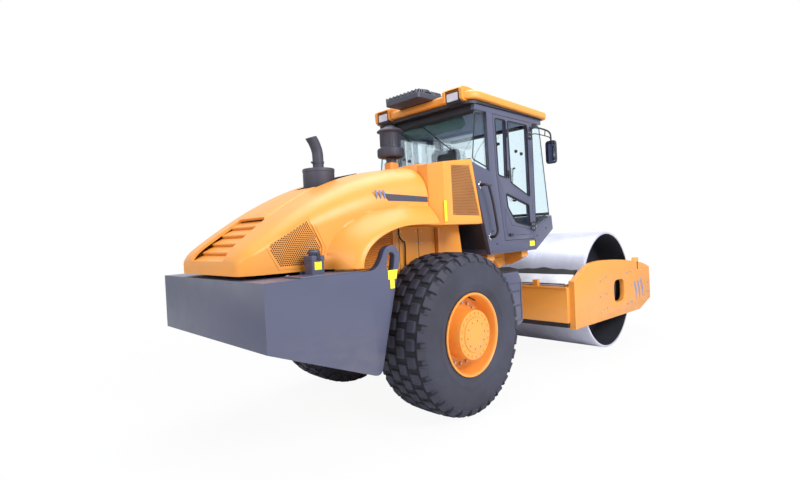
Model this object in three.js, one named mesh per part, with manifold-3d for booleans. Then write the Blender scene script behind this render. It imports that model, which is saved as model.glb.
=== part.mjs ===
// Single-drum road roller: one steel drum in an articulated front frame, two rubber tyres at the rear,
// a glazed cab in the middle and a tilting hood over the engine.
// Millimetres. +X forward, +Y left, +Z up, ground at z = 0.
// Pieces are placed from the rear axle (x = 0); the whole group is then moved so that x = 0 is mid-length.
import * as THREE from 'three';
import { mergeVertices } from 'three/addons/utils/BufferGeometryUtils.js';
import Module from 'manifold-3d';

const wasm = await Module();
wasm.setup();

// ---------------------------------------------------------------- driving dimensions
const REAR_X = -1980; // rear face of the counterweight
const SEAT_GAP = 0.3; // between pieces that touch
const RUN_GAP = 0.5; // between faces that turn on each other

const ROUND_SIDES = 40; // sides of tyres and rims
const TYRE_R = 765;
const TYRE_HALF_WIDTH = 293;
const TYRE_MID_Y = 857;
const BEAD_R = 372;
const BEAD_HALF_WIDTH = 240;
const HUB_R = 229;
const HUB_INNER = -145; // inner face of the hub from the tyre's middle

const WHEELBASE = 3200;
const FRONT_X = WHEELBASE + 1400; // front edge of the drum frame
const DRUM_SIDES = 64;
const DRUM_R = 805;
const DRUM_WALL = 36;
const DRUM_HALF_WIDTH = 1050;
const DRUM_HEAD_Y = 650; // outer face of each drum head

const AXLE_TUBE_R = 95;
const AXLE_CASE_R = 190;

const CHASSIS_HALF = 420;
const CHASSIS_BOTTOM = 600;
const CHASSIS_ARCH_TOP = 975; // over the rear axle
const DECK_TOP = 1150;
const DECK_HALF = 522;
const DECK_WALL = 50;
const NOSE_HALF = 190; // narrow front end of the chassis
const NOSE_START = 700;
const NOSE_END = 1150;

const PIVOT_X = 1450;
const LUG_LOW = [560, 620];
const LUG_HIGH = [1000, 1060];
const LUG_R = 130;
const SWING_Z = 780; // axis about which the front frame rocks
const SWING_R = 165;
const SWING_FACE_X = 1700;
const STEER_PIN = [60, 240]; // rod pin from the pivot
const STEER_ANCHOR = [770, 300]; // barrel pin from the rear axle
const STEER_EYE_R = 38;
const STEER_EYE_HALF = 29;
const STEER_BARREL_R = 42;
const STEER_BARREL_END = 430;
const STEER_ROD_R = 24;
const STEER_BARREL_START = 62;
const STEER_BORE_START = 82;
const STEER_ROD_START = 238;
const STEER_PLATE = 20;

const WEIGHT_HALF = 930;
const WEIGHT_TOP = 1440;
const WEIGHT_FRONT = -1100;
const CHEEK_WALL = 60;
const EYE_X = -815;
const EYE_Z = 1535;
const EYE_R = 97;

const SEAM_X = -220; // front edge of the hood
const HOOD_REAR_X = -1965;
const HOOD_BOTTOM = 1470;
const HOOD_SEAM_TOP = 2375;
const HOOD_FALL = [0.0903, 0.000195]; // fall of the top line per mm and per mm squared behind the seam
const HOOD_SEAM_HALF = 832;
const HOOD_TAPER = 0.152;
const HOOD_NOSE = 130; // length over which the rear corners are rounded
const HOOD_WALL = 32;
const HOOD_STATIONS = 12;
const HOOD_BUFFER = { x: [-1500, -1420], y: [606, 646] }; // pads on the counterweight that the hood rests on
const ARCH_CENTRE_X = -500;
const ARCH_LIP = [640, 332];
const ARCH_CREST = [800, 498];
const FLARE_Y = 955;

const PANEL_Y = [490, 520]; // engine side panels
const ENGINE = { x: [-1040, -240], y: 330, top: HOOD_SEAM_TOP - 475 };
const RADIATOR = { x: [-1380, -1230], y: 440, top: HOOD_SEAM_TOP - 515 };
const STACK_X = -843;
const MUFFLER_R = 150;
const MUFFLER_TOP = HOOD_SEAM_TOP + 5;
const STACK_TOP = MUFFLER_TOP + 320;
const STACK_R = 54;
const SLOT = { x: [-1046, -500], half: 172 };

const POD_OUTER = 955;
const POD_INNER = 700;
const POD_BOTTOM = HOOD_SEAM_TOP - 590;
const POD_TOP = HOOD_SEAM_TOP + 50;
const POD_FRONT = { low: 440, top: 300 };
const COWL_TOP = HOOD_SEAM_TOP + 10;
const PRECLEANER = { x: 335, y: 250 };

const CAB_HALF = 740;
const CAB_WALL = 50;
const CAB_FLOOR = [1441, 1501];
const CAB_REAR_LOW = [872, 1441];
const CAB_REAR_KINK = [591, 2451];
const CAB_REAR_TOP = [696, 3080];
const CAB_CHIN = [1848, 1441];
const CAB_FRONT_LOW = [2291, 1689];
const CAB_FRONT_TOP = [2080, 3080];
const SILL_FRONT = 1864; // bottom of the windscreen
const RAIL_Z = 3018; // under the roof rail
const POST_REAR = [[921, 2363], [905, 3018]];
const POST_FRONT_X = 1858;
const GLASS = 8;
const GLASS_INSET = 12; // panes behind the edges that hold them
const DOOR = {
  low: 1586, top: 3009, rearLow: 1173, rearMid: [1049, 2348], rearTop: 1018, front: 1796, gap: 6,
};
const DOOR_HINGE = { x: 1811, radius: 11, out: 19, z: [[1689, 1779], [2812, 2902]] };
const DOOR_WINDOWS = [
  [[1065, 2966], [1090, 2333], [1260, 2307], [1269, 2966]],
  [[1320, 2966], [1343, 2255], [1745, 2101], [1740, 2966]],
  [[1235, 2121], [1255, 1967], [1415, 1792], [1724, 1740], [1714, 1993]],
];
const ROOF = { x: [486, 2238], half: 810, low: 3080.3, top: 3230 };

const STEP_BOX_INNER = 420; // side of the cab bracket that carries it
const COLUMN_FOOT = [1750, 0, CAB_FLOOR[1]];
const COLUMN_HEAD = [1670, 0, 2181];

const SIDE_PLATE = { inner: 1070, outer: 1140 };
const BEAM_REAR = { x: [WHEELBASE - 1250, WHEELBASE - 1000], z: [530, 960] };
const BEAM_FRONT = { x: [WHEELBASE + 1030, WHEELBASE + 1260], z: [520, 940] };
const PLATE_SLOT = { x: [WHEELBASE - 10, WHEELBASE + 360], z: [617, 924] };
const CARRIER_R = 330;
// rubber blocks of the carrier, clear of the plate's slot
const CARRIER_BUFFERS = [[-220, -180], [-220, 180], [80, -270], [80, 270]];

// ---------------------------------------------------------------- materials
const material = (colour, roughness, metalness) =>
  new THREE.MeshStandardMaterial({ color: colour, roughness, metalness });
const ORANGE = material(0xf2a33c, 0.35, 0.0);
const GREY = material(0x60627c, 0.45, 0.0);
const BLACK = material(0x1b1c22, 0.55, 0.0);
const RUBBER = material(0x2b2c33, 0.85, 0.0);
const STEEL = material(0xc9c9d4, 0.35, 0.9);
const CHROME = material(0xdedee4, 0.12, 1.0);
const IRON = material(0x55565e, 0.6, 0.6);
const CLOTH = material(0x24252b, 0.9, 0.0);
const PANE = new THREE.MeshStandardMaterial({
  color: 0xbfe3ea, roughness: 0.05, metalness: 0, transparent: true, opacity: 0.35,
});

// ---------------------------------------------------------------- shape helpers
function toSolid(geometry) {
  const plain = geometry.clone();
  plain.deleteAttribute('normal');
  plain.deleteAttribute('uv');
  const merged = mergeVertices(plain, 1e-3);
  const points = Float32Array.from(merged.attributes.position.array);
  const corners = Uint32Array.from(merged.index.array);
  if (signedVolume(points, corners) < 0) corners.reverse();
  return new wasm.Manifold(new wasm.Mesh({ numProp: 3, vertProperties: points, triVerts: corners }));
}

function signedVolume(points, corners) {
  const a = new THREE.Vector3();
  const b = new THREE.Vector3();
  const c = new THREE.Vector3();
  let total = 0;
  for (let i = 0; i < corners.length; i += 3) {
    a.fromArray(points, 3 * corners[i]);
    b.fromArray(points, 3 * corners[i + 1]);
    c.fromArray(points, 3 * corners[i + 2]);
    total += a.dot(b.cross(c));
  }
  return total;
}

function toGeometry(solid) {
  const { vertProperties, triVerts, numProp } = solid.getMesh();
  const points = new Float32Array((vertProperties.length / numProp) * 3);
  for (let i = 0; i < points.length / 3; i += 1) {
    for (let k = 0; k < 3; k += 1) points[3 * i + k] = vertProperties[i * numProp + k];
  }
  const geometry = new THREE.BufferGeometry();
  geometry.setAttribute('position', new THREE.BufferAttribute(points, 3));
  geometry.setIndex(new THREE.BufferAttribute(triVerts, 1));
  geometry.computeVertexNormals();
  return geometry;
}

const shapeOf = (outline) => new THREE.Shape(outline.map(([a, b]) => new THREE.Vector2(a, b)));
const pathOf = (outline) => new THREE.Path(outline.map(([a, b]) => new THREE.Vector2(a, b)));

function extrude(shape, depth, curveSegments = 8) {
  return new THREE.ExtrudeGeometry(shape, { depth, bevelEnabled: false, curveSegments, steps: 1 });
}

// outline in X and Z, run along Y
function prismY(outline, y0, y1, curveSegments = 8) {
  const shape = outline instanceof THREE.Shape ? outline : shapeOf(outline);
  const geometry = extrude(shape, y1 - y0, curveSegments);
  geometry.rotateX(Math.PI / 2);
  geometry.translate(0, y1, 0);
  return toSolid(geometry);
}

// outline in X and Y, run along Z
function prismZ(outline, z0, z1, curveSegments = 8) {
  const shape = outline instanceof THREE.Shape ? outline : shapeOf(outline);
  const geometry = extrude(shape, z1 - z0, curveSegments);
  geometry.translate(0, 0, z0);
  return toSolid(geometry);
}

function box(x, y, z) {
  const geometry = new THREE.BoxGeometry(x[1] - x[0], y[1] - y[0], z[1] - z[0]);
  geometry.translate((x[0] + x[1]) / 2, (y[0] + y[1]) / 2, (z[0] + z[1]) / 2);
  return toSolid(geometry);
}

// closed profile of [radius, y] pairs, turned about the Y line through x, z; a flat faces the ground
function latheY(profile, x, z, sides) {
  const geometry = new THREE.LatheGeometry(profile.map(([r, y]) => new THREE.Vector2(r, y)), sides);
  geometry.rotateY(Math.PI / sides);
  geometry.translate(x, 0, z);
  return toSolid(geometry);
}

// closed profile of [radius, z] pairs, turned about the Z line through x, y
function latheZ(profile, x, y, sides) {
  const geometry = new THREE.LatheGeometry(profile.map(([r, z]) => new THREE.Vector2(r, z)), sides);
  geometry.rotateX(Math.PI / 2);
  geometry.translate(x, y, 0);
  return toSolid(geometry);
}

// round bar between two points
function bar(from, to, radius, sides = 16) {
  const start = new THREE.Vector3(...from);
  const run = new THREE.Vector3(...to).sub(start);
  const geometry = new THREE.CylinderGeometry(radius, radius, run.length(), sides);
  geometry.translate(0, run.length() / 2, 0);
  const up = new THREE.Vector3(0, 1, 0);
  geometry.applyQuaternion(new THREE.Quaternion().setFromUnitVectors(up, run.clone().normalize()));
  geometry.translate(start.x, start.y, start.z);
  return toSolid(geometry);
}

// round tube along a smooth curve through points
function tube(points, radius, steps, sides = 8) {
  const curve = new THREE.CatmullRomCurve3(points.map((p) => new THREE.Vector3(...p)), false, 'centripetal');
  const ring = new THREE.Shape();
  for (let i = 0; i < sides; i += 1) {
    const angle = (2 * Math.PI * i) / sides;
    const spot = [radius * Math.cos(angle), radius * Math.sin(angle)];
    if (i === 0) ring.moveTo(...spot);
    else ring.lineTo(...spot);
  }
  return toSolid(new THREE.ExtrudeGeometry(ring, { steps, bevelEnabled: false, extrudePath: curve }));
}

const join = (first, ...rest) => rest.reduce((sum, solid) => sum.add(solid), first);
const cut = (first, ...rest) => rest.reduce((left, solid) => left.subtract(solid), first);
const lerp = ([x0, z0], [x1, z1], z) => x0 + ((x1 - x0) * (z - z0)) / (z1 - z0);
// mirrored spans for the right (-1) and left (+1) side
const span = (side, near, far) => (side > 0 ? [near, far] : [-far, -near]);
const SIDES = { right: -1, left: 1 };

const roller = new THREE.Group();
function add(name, solid, finish) {
  const mesh = new THREE.Mesh(toGeometry(solid), finish);
  mesh.name = name;
  roller.add(mesh);
}

// ---------------------------------------------------------------- rear wheels and axle
const TYRE_Z = TYRE_R * Math.cos(Math.PI / ROUND_SIDES);
const DRUM_Z = DRUM_R * Math.cos(Math.PI / DRUM_SIDES);

function tyre(side) {
  const half = [
    [BEAD_R, BEAD_HALF_WIDTH], [450, TYRE_HALF_WIDTH - 10], [600, TYRE_HALF_WIDTH],
    [TYRE_R - 60, TYRE_HALF_WIDTH - 5], [TYRE_R - 16, TYRE_HALF_WIDTH - 45], [TYRE_R, TYRE_HALF_WIDTH - 115],
  ];
  const mirrored = half.map(([r, s]) => [r, -s]).reverse();
  const profile = [...half, ...mirrored, half[0]].map(([r, s]) => [r, side * (TYRE_MID_Y + s)]);
  return latheY(profile, 0, TYRE_Z, ROUND_SIDES);
}

function rim(side) {
  const seat = BEAD_R - 0.5;
  const flange = BEAD_HALF_WIDTH + 10;
  const profile = [
    [0, HUB_INNER], [170, HUB_INNER], [170, 70], [330, 70], [340, -flange - 18], [384, -flange - 18],
    [384, -flange], [seat, -BEAD_HALF_WIDTH], [seat, BEAD_HALF_WIDTH], [384, flange], [384, flange + 18],
    [350, flange + 18], [335, 110], [HUB_R, 100], [HUB_R, 283], [160, 283], [155, 290], [0, 290],
  ];
  return latheY(profile.map(([r, s]) => [r, side * (TYRE_MID_Y + s)]), 0, TYRE_Z, ROUND_SIDES);
}

for (const [word, side] of Object.entries(SIDES)) {
  add(`tyre_${word}`, tyre(side), RUBBER);
  add(`rim_${word}`, rim(side), ORANGE);
}

function rearAxle() {
  const end = TYRE_MID_Y + HUB_INNER - RUN_GAP;
  const half = [
    [AXLE_CASE_R, 110], [AXLE_TUBE_R, 230], [AXLE_TUBE_R, end - 60], [165, end - 40], [165, end], [0, end],
  ];
  const mirrored = half.map(([r, y]) => [r, -y]).reverse();
  const housing = latheY([...mirrored, ...half], 0, TYRE_Z, 24);
  const padTop = CHASSIS_ARCH_TOP - SEAT_GAP;
  const pads = [-1, 1].map((side) => box([-90, 90], span(side, 290, 390), [TYRE_Z, padTop]));
  return join(housing, ...pads);
}
add('rear_axle', rearAxle(), ORANGE);

// ---------------------------------------------------------------- rear chassis
function chassis() {
  const rear = WEIGHT_FRONT + SEAT_GAP;
  const beam = [
    [rear, 660], [-330, CHASSIS_BOTTOM], [-230, CHASSIS_ARCH_TOP], [230, CHASSIS_ARCH_TOP],
    [330, CHASSIS_BOTTOM], [NOSE_START, LUG_LOW[0]], [NOSE_START, DECK_TOP - DECK_WALL],
    [rear, DECK_TOP - DECK_WALL],
  ];
  const deck = box([rear, NOSE_START], [-DECK_HALF, DECK_HALF], [DECK_TOP - DECK_WALL - 1, DECK_TOP]);
  const nose = box([NOSE_START - 1, NOSE_END], [-NOSE_HALF, NOSE_HALF], [LUG_LOW[0], LUG_HIGH[1]]);
  const lugShape = new THREE.Shape();
  lugShape.moveTo(NOSE_END - 1, -NOSE_HALF);
  lugShape.lineTo(PIVOT_X, -LUG_R);
  lugShape.absarc(PIVOT_X, 0, LUG_R, -Math.PI / 2, Math.PI / 2, false);
  lugShape.lineTo(NOSE_END - 1, NOSE_HALF);
  const lugs = [LUG_LOW, LUG_HIGH].map(([z0, z1]) => prismZ(lugShape, z0, z1));
  const [anchorX, anchorY] = STEER_ANCHOR;
  const ears = [-1, 1].flatMap((side) => earPlates().map(([z0, z1]) =>
    box([NOSE_START - 1, anchorX + 55], span(side, anchorY - 60, anchorY + 60), [z0, z1])));
  return join(prismY(beam, -CHASSIS_HALF, CHASSIS_HALF), deck, nose, ...lugs, ...ears);
}

// the two plates above and below a steering cylinder's eye
function earPlates() {
  const near = STEER_EYE_HALF + RUN_GAP;
  return [[SWING_Z - near - STEER_PLATE, SWING_Z - near], [SWING_Z + near, SWING_Z + near + STEER_PLATE]];
}

// bracket under the cab, on the deck's front end
function cabBracket(side) {
  const top = CAB_FLOOR[0] - SEAT_GAP;
  const outline = [
    [640, DECK_TOP - SEAT_GAP], [900, 1330], [900, top], [1780, top], [1780, top - 50], [1540, 1240],
    [NOSE_START + 300, 1180], [NOSE_START, DECK_TOP - DECK_WALL],
  ];
  return prismY(outline, ...span(side, 380, 420));
}

const cabBrackets = [-1, 1].map(cabBracket);
const outriggerZ = [CAB_FLOOR[0] - 75, CAB_FLOOR[0] - SEAT_GAP];
const outriggers = [[900, 1040], [1620, 1760]].map((x) => box(x, [-CAB_HALF + 70, CAB_HALF - 70], outriggerZ));
add('chassis', join(chassis(), ...cabBrackets, ...outriggers), ORANGE);

// ---------------------------------------------------------------- counterweight with its lifting eyes
function counterweight() {
  const side = new THREE.Shape();
  side.moveTo(REAR_X, 965);
  side.lineTo(-1060, 608);
  side.quadraticCurveTo(-985, 580, -966, 640);
  side.lineTo(EYE_X + EYE_R * 0.94, EYE_Z - EYE_R * 0.34);
  side.absarc(EYE_X, EYE_Z, EYE_R, -0.35, Math.PI - 0.35, false);
  side.quadraticCurveTo(-960, 1440, -1060, WEIGHT_TOP);
  side.lineTo(REAR_X, WEIGHT_TOP);
  const hole = new THREE.Path();
  hole.absarc(EYE_X - 5, EYE_Z, 42, 0, Math.PI, false);
  hole.absarc(EYE_X - 20, EYE_Z - 75, 42, Math.PI, 2 * Math.PI, false);
  side.holes.push(hole);
  const bay = WEIGHT_HALF - CHEEK_WALL;
  const block = cut(prismY(side, -WEIGHT_HALF, WEIGHT_HALF), box([WEIGHT_FRONT, 0], [-bay, bay], [0, 3000]));
  const bufferZ = [WEIGHT_TOP - 1, HOOD_BOTTOM - SEAT_GAP];
  return join(block, ...[-1, 1].map((hand) => box(HOOD_BUFFER.x, span(hand, ...HOOD_BUFFER.y), bufferZ)));
}
add('counterweight', counterweight(), GREY);

function fuelFiller() {
  const neck = box([-1520, -1400], [-820, -700], [WEIGHT_TOP + SEAT_GAP, 1590]);
  return join(neck, latheZ([[0, 1589], [48, 1589], [48, 1640], [0, 1640]], -1460, -760, 16));
}
add('fuel_filler', fuelFiller(), GREY);

// ---------------------------------------------------------------- hood
const hoodTop = (x) => {
  const back = SEAM_X - x;
  return HOOD_SEAM_TOP - HOOD_FALL[0] * back - HOOD_FALL[1] * back * back;
};
const hoodHalf = (x) => {
  const nose = Math.max(0, (HOOD_REAR_X + HOOD_NOSE - x) / HOOD_NOSE);
  return HOOD_SEAM_HALF - HOOD_TAPER * (SEAM_X - x) - 90 * (1 - Math.sqrt(1 - nose * nose));
};

// a body whose cross-section is a rounded arch, shaped along its length by the two curves above
function hoodBody(inset, rear, front, bottom) {
  const section = new THREE.Shape();
  section.moveTo(-1, 0);
  section.lineTo(1, 0);
  section.lineTo(1, 0.62);
  section.quadraticCurveTo(0.985, 0.94, 0.62, 0.98);
  section.lineTo(0, 1);
  section.lineTo(-0.62, 0.98);
  section.quadraticCurveTo(-0.985, 0.94, -1, 0.62);
  const geometry = new THREE.ExtrudeGeometry(section, {
    depth: 1, steps: HOOD_STATIONS, bevelEnabled: false, curveSegments: 4,
  });
  const spots = geometry.attributes.position;
  for (let i = 0; i < spots.count; i += 1) {
    const along = spots.getZ(i) ** 1.35;
    const x = rear + (front - rear) * along;
    const shapeX = Math.max(x, HOOD_REAR_X);
    const top = hoodTop(shapeX) - inset * 1.2;
    spots.setXYZ(i, x, spots.getX(i) * (hoodHalf(shapeX) - inset), bottom + spots.getY(i) * (top - bottom));
  }
  return toSolid(geometry);
}

// region under a quarter ellipse over the wheel, open towards the front
function archRegion([length, height], front) {
  const region = new THREE.Shape();
  region.moveTo(ARCH_CENTRE_X - length, HOOD_BOTTOM - 60);
  region.lineTo(ARCH_CENTRE_X - length, HOOD_BOTTOM);
  for (let i = 1; i <= 10; i += 1) {
    const angle = (Math.PI / 2) * (i / 10);
    region.lineTo(ARCH_CENTRE_X - length * Math.cos(angle), HOOD_BOTTOM + height * Math.sin(angle));
  }
  region.lineTo(front, HOOD_BOTTOM + height);
  region.lineTo(front, HOOD_BOTTOM - 60);
  return region;
}

const hoodInside = (inset) => hoodBody(inset, HOOD_REAR_X + HOOD_WALL, SEAM_X + 40, HOOD_BOTTOM - 40);

function hood() {
  const outer = hoodBody(0, HOOD_REAR_X, SEAM_X, HOOD_BOTTOM);
  const archCut = prismY(archRegion(ARCH_LIP, SEAM_X + 20), -1300, 1300);
  const flares = cut(prismY(archRegion(ARCH_CREST, SEAM_X), -FLARE_Y, FLARE_Y),
    box([-3000, 0], [-1300, 1300], [0, HOOD_BOTTOM]));
  const slot = box(SLOT.x, [-SLOT.half, SLOT.half], [HOOD_SEAM_TOP - 375, HOOD_SEAM_TOP + 200]);
  return cut(join(outer, flares), hoodInside(HOOD_WALL), archCut, slot);
}
add('hood', hood(), ORANGE);

// ---------------------------------------------------------------- engine bay
add('engine_block', box(ENGINE.x, [-ENGINE.y, ENGINE.y], [DECK_TOP + SEAT_GAP, ENGINE.top]), IRON);
add('radiator', box(RADIATOR.x, [-RADIATOR.y, RADIATOR.y], [WEIGHT_TOP + SEAT_GAP, RADIATOR.top]), BLACK);

function exhaustStack() {
  const foot = ENGINE.top + SEAT_GAP;
  const canProfile = [[0, foot], [MUFFLER_R, foot], [MUFFLER_R, MUFFLER_TOP], [0, MUFFLER_TOP]];
  const can = latheZ(canProfile, STACK_X, 0, 24);
  // set back and height over the can of points along the tail pipe
  const bends = [[0, -5], [0, 100], [8, 180], [40, 260], [75, STACK_TOP - MUFFLER_TOP]];
  const pipe = tube(bends.map(([back, rise]) => [STACK_X - back, 0, MUFFLER_TOP + rise]), STACK_R, 8, 16);
  return join(can, pipe);
}
add('exhaust_stack', exhaustStack(), IRON);

function sidePanel(side) {
  const outline = [[-1095, DECK_TOP + SEAT_GAP], [690, DECK_TOP + SEAT_GAP], [600, POD_BOTTOM - SEAT_GAP],
    [-1095, POD_BOTTOM - SEAT_GAP]];
  return prismY(outline, ...span(side, ...PANEL_Y));
}

// ---------------------------------------------------------------- cowl and air-intake pods behind the cab
const cabRearX = (z) => lerp(CAB_REAR_LOW, CAB_REAR_KINK, z);
const cowlBack = SEAM_X + 8;
const cowlFront = (z) => cabRearX(z) - 20;
function cowl() {
  const outline = [
    [cowlBack, POD_BOTTOM], [cowlFront(POD_BOTTOM), POD_BOTTOM], [cowlFront(COWL_TOP), COWL_TOP],
    [cowlBack, HOOD_SEAM_TOP],
  ];
  const body = prismY(outline, -POD_INNER + SEAT_GAP, POD_INNER - SEAT_GAP);
  const lip = box([SEAM_X - 45, cowlBack + 1], [-420, 420], [HOOD_SEAM_TOP - 90, HOOD_SEAM_TOP]);
  return join(body, lip.intersect(hoodInside(HOOD_WALL + SEAT_GAP)));
}

function pod(side) {
  const { low, top } = POD_FRONT;
  const plan = [[cowlBack, POD_INNER], [low, POD_INNER], [low, POD_OUTER], [cowlBack + 85, POD_OUTER],
    [cowlBack, HOOD_SEAM_HALF]];
  const turned = plan.map(([x, y]) => [x, side * y]);
  const profile = [[cowlBack, POD_BOTTOM], [low, POD_BOTTOM], [top, POD_TOP], [cowlBack, HOOD_SEAM_TOP - 15]];
  return prismZ(turned, POD_BOTTOM, POD_TOP).intersect(prismY(profile, -1000, 1000));
}
add('rear_cowl', cowl(), ORANGE);
for (const [word, side] of Object.entries(SIDES)) {
  add(`engine_side_panel_${word}`, sidePanel(side), ORANGE);
  add(`intake_pod_${word}`, pod(side), ORANGE);
}

function preCleaner() {
  // radius and height over the cowl: foot, skirt, bowl, cap
  const rises = [[0, 40], [56, 40], [56, 215], [45, 220], [45, 300], [144, 306], [144, 400], [115, 420],
    [115, 560], [154, 575], [62, 645], [0, 650]];
  const profile = rises.map(([r, rise]) => [r, COWL_TOP + rise]);
  const foot = box([PRECLEANER.x - 70, PRECLEANER.x + 70], [PRECLEANER.y - 70, PRECLEANER.y + 70], [COWL_TOP - 20, COWL_TOP + 41]);
  return cut(join(latheZ(profile, PRECLEANER.x, PRECLEANER.y, 20), foot), cowl());
}
add('air_precleaner', preCleaner(), BLACK);

// ---------------------------------------------------------------- cab
const [KINK_X, KINK_Z] = CAB_REAR_KINK;
const innerY = CAB_HALF - CAB_WALL;
const between = innerY - SEAT_GAP;

function cabFloor() {
  const [chinX, chinZ] = CAB_CHIN;
  const [frontX, frontZ] = CAB_FRONT_LOW;
  const sillX = lerp(CAB_FRONT_LOW, CAB_FRONT_TOP, SILL_FRONT);
  const outline = [
    [CAB_REAR_LOW[0], CAB_FLOOR[0]], [chinX, chinZ], [frontX, frontZ], [sillX, SILL_FRONT],
    [sillX - 45, SILL_FRONT], [frontX - 45, frontZ + 30], [chinX - 20, CAB_FLOOR[1]],
    [cabRearX(CAB_FLOOR[1]), CAB_FLOOR[1]],
  ];
  return prismY(outline, -between, between);
}
add('cab_floor', cabFloor(), GREY);

function doorOutline(grow) {
  const { low, top, rearLow, rearMid, rearTop, front } = DOOR;
  return [[rearLow - grow, low - grow], [front + grow, low - grow], [front + grow, top + grow],
    [rearTop - grow, top + grow], [rearMid[0] - grow, rearMid[1]]];
}

function cabSide(side) {
  const shape = shapeOf([
    CAB_REAR_LOW, CAB_CHIN, CAB_FRONT_LOW, [lerp(CAB_FRONT_LOW, CAB_FRONT_TOP, SILL_FRONT), SILL_FRONT],
    [POST_FRONT_X, 1714], [POST_FRONT_X, RAIL_Z], [lerp(CAB_FRONT_LOW, CAB_FRONT_TOP, RAIL_Z), RAIL_Z],
    CAB_FRONT_TOP, CAB_REAR_TOP, [lerp(CAB_REAR_KINK, CAB_REAR_TOP, RAIL_Z), RAIL_Z], POST_REAR[1],
    POST_REAR[0], CAB_REAR_KINK,
  ]);
  shape.holes.push(pathOf(doorOutline(DOOR.gap)));
  return prismY(shape, ...span(side, innerY, CAB_HALF));
}

function cabRearWall() {
  const low = CAB_FLOOR[1] + SEAT_GAP;
  const outline = [
    [cabRearX(low), low], [cabRearX(low) + CAB_WALL, low], [KINK_X + CAB_WALL, KINK_Z], CAB_REAR_KINK,
  ];
  return prismY(outline, -between, between);
}
add('cab_rear_wall', cabRearWall(), BLACK);

// rear pane with its two wings
function rearGlass() {
  const low = KINK_Z + SEAT_GAP;
  const high = RAIL_Z - SEAT_GAP;
  const lowX = lerp(CAB_REAR_KINK, CAB_REAR_TOP, low) + GLASS_INSET;
  const highX = lerp(CAB_REAR_KINK, CAB_REAR_TOP, high) + GLASS_INSET;
  const wingY = CAB_HALF - 15;
  const paneOutline = [[lowX, low], [lowX + GLASS, low], [highX + GLASS, high], [highX, high]];
  const pane = prismY(paneOutline, -wingY, wingY);
  const [postLow, postHigh] = POST_REAR;
  const edge = 0.5;
  const wing = [
    [lowX + 2, low - 3], [postLow[0] - edge, postLow[1] + edge + 3],
    [lerp(postLow, postHigh, high) - edge, high], [highX + 2, high],
  ];
  const wings = [-1, 1].map((side) => prismY(wing, ...span(side, wingY - GLASS, wingY)));
  return cut(join(pane, ...wings), cabRearSlab());
}

// everything of the side walls and rear wall below the slanting edge, with a small clearance
function cabRearSlab() {
  const drop = 0.5;
  const outline = [
    [KINK_X - 50, KINK_Z + drop], [POST_REAR[0][0], POST_REAR[0][1] + drop], [1150, 2200], [400, 2200],
  ];
  const slabs = [-1, 1].map((side) => prismY(outline, ...span(side, innerY - SEAT_GAP, CAB_HALF + 10)));
  return join(...slabs);
}
add('rear_glass', rearGlass(), PANE);

// windscreen with its two wings
function windscreen() {
  const low = SILL_FRONT + SEAT_GAP;
  const high = RAIL_Z - SEAT_GAP;
  const lowX = lerp(CAB_FRONT_LOW, CAB_FRONT_TOP, low) - GLASS_INSET;
  const highX = lerp(CAB_FRONT_LOW, CAB_FRONT_TOP, high) - GLASS_INSET;
  const wingY = CAB_HALF - 15;
  const paneOutline = [[lowX - GLASS, low], [lowX, low], [highX, high], [highX - GLASS, high]];
  const pane = prismY(paneOutline, -wingY, wingY);
  const post = POST_FRONT_X + 0.5;
  const wings = [-1, 1].map((side) => prismY([[post, 1716], [lowX - 2, low], [highX - 2, high], [post, high]],
    ...span(side, wingY - GLASS, wingY)));
  return join(pane, ...wings);
}
add('windscreen', windscreen(), PANE);

function roof() {
  const { x, half, low, top } = ROOF;
  const round = 110;
  const plan = new THREE.Shape();
  plan.moveTo(x[0] + round, -half);
  plan.lineTo(x[1] - round, -half);
  plan.quadraticCurveTo(x[1], -half, x[1], -half + round);
  plan.lineTo(x[1], half - round);
  plan.quadraticCurveTo(x[1], half, x[1] - round, half);
  plan.lineTo(x[0] + round, half);
  plan.quadraticCurveTo(x[0], half, x[0], half - round);
  plan.lineTo(x[0], -half + round);
  plan.quadraticCurveTo(x[0], -half, x[0] + round, -half);
  const bevel = 40;
  const cap = new THREE.ExtrudeGeometry(plan, {
    depth: top - low - bevel, bevelEnabled: true, bevelThickness: bevel, bevelSize: bevel,
    bevelOffset: -bevel, bevelSegments: 2, curveSegments: 3,
  });
  cap.translate(0, 0, low);
  return cut(toSolid(cap), box([0, 3000], [-1000, 1000], [low - 200, low]));
}
add('cab_roof', roof(), ORANGE);

function acUnit() {
  const outline = [[300, 3200], [620, 3200], [620, 3312], [560, 3330], [350, 3324], [300, 3290]];
  const seat = box([619, 800], [-230, 230], [ROOF.top + SEAT_GAP, 3315]);
  return cut(join(prismY(outline, -266, 266), seat), roof());
}
add('ac_condenser', acUnit(), GREY);

// ---------------------------------------------------------------- doors
function door(side) {
  const panes = DOOR_WINDOWS.map((outline) => prismY(outline, -CAB_HALF - 10, CAB_HALF + 10));
  const leaf = cut(prismY(doorOutline(0), ...span(side, innerY + 10, CAB_HALF)), ...panes);
  return join(leaf, ...DOOR_HINGE.z.map((z) => doorHinge(side, z)));
}

// a strap on the door's outer face with its knuckle over the front post
function doorHinge(side, z) {
  const near = CAB_HALF + SEAT_GAP;
  const strap = box([DOOR.front - 65, DOOR_HINGE.x], span(side, near, near + DOOR_HINGE.out), z);
  const weld = box([DOOR.front - 65, DOOR.front - 3], span(side, CAB_HALF - 1, near + 1), z);
  const y = side * (near + DOOR_HINGE.radius);
  const barrel = bar([DOOR_HINGE.x, y, z[0] - 8], [DOOR_HINGE.x, y, z[1] + 8], DOOR_HINGE.radius, 12);
  return join(strap, weld, barrel);
}

function doorGlass(side) {
  const outline = [[1070, 2976], [1207, 1720], [1755, 1720], [1755, 2976]];
  const near = innerY + 10 - SEAT_GAP - GLASS;
  return prismY(outline, ...span(side, near, near + GLASS));
}

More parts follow.
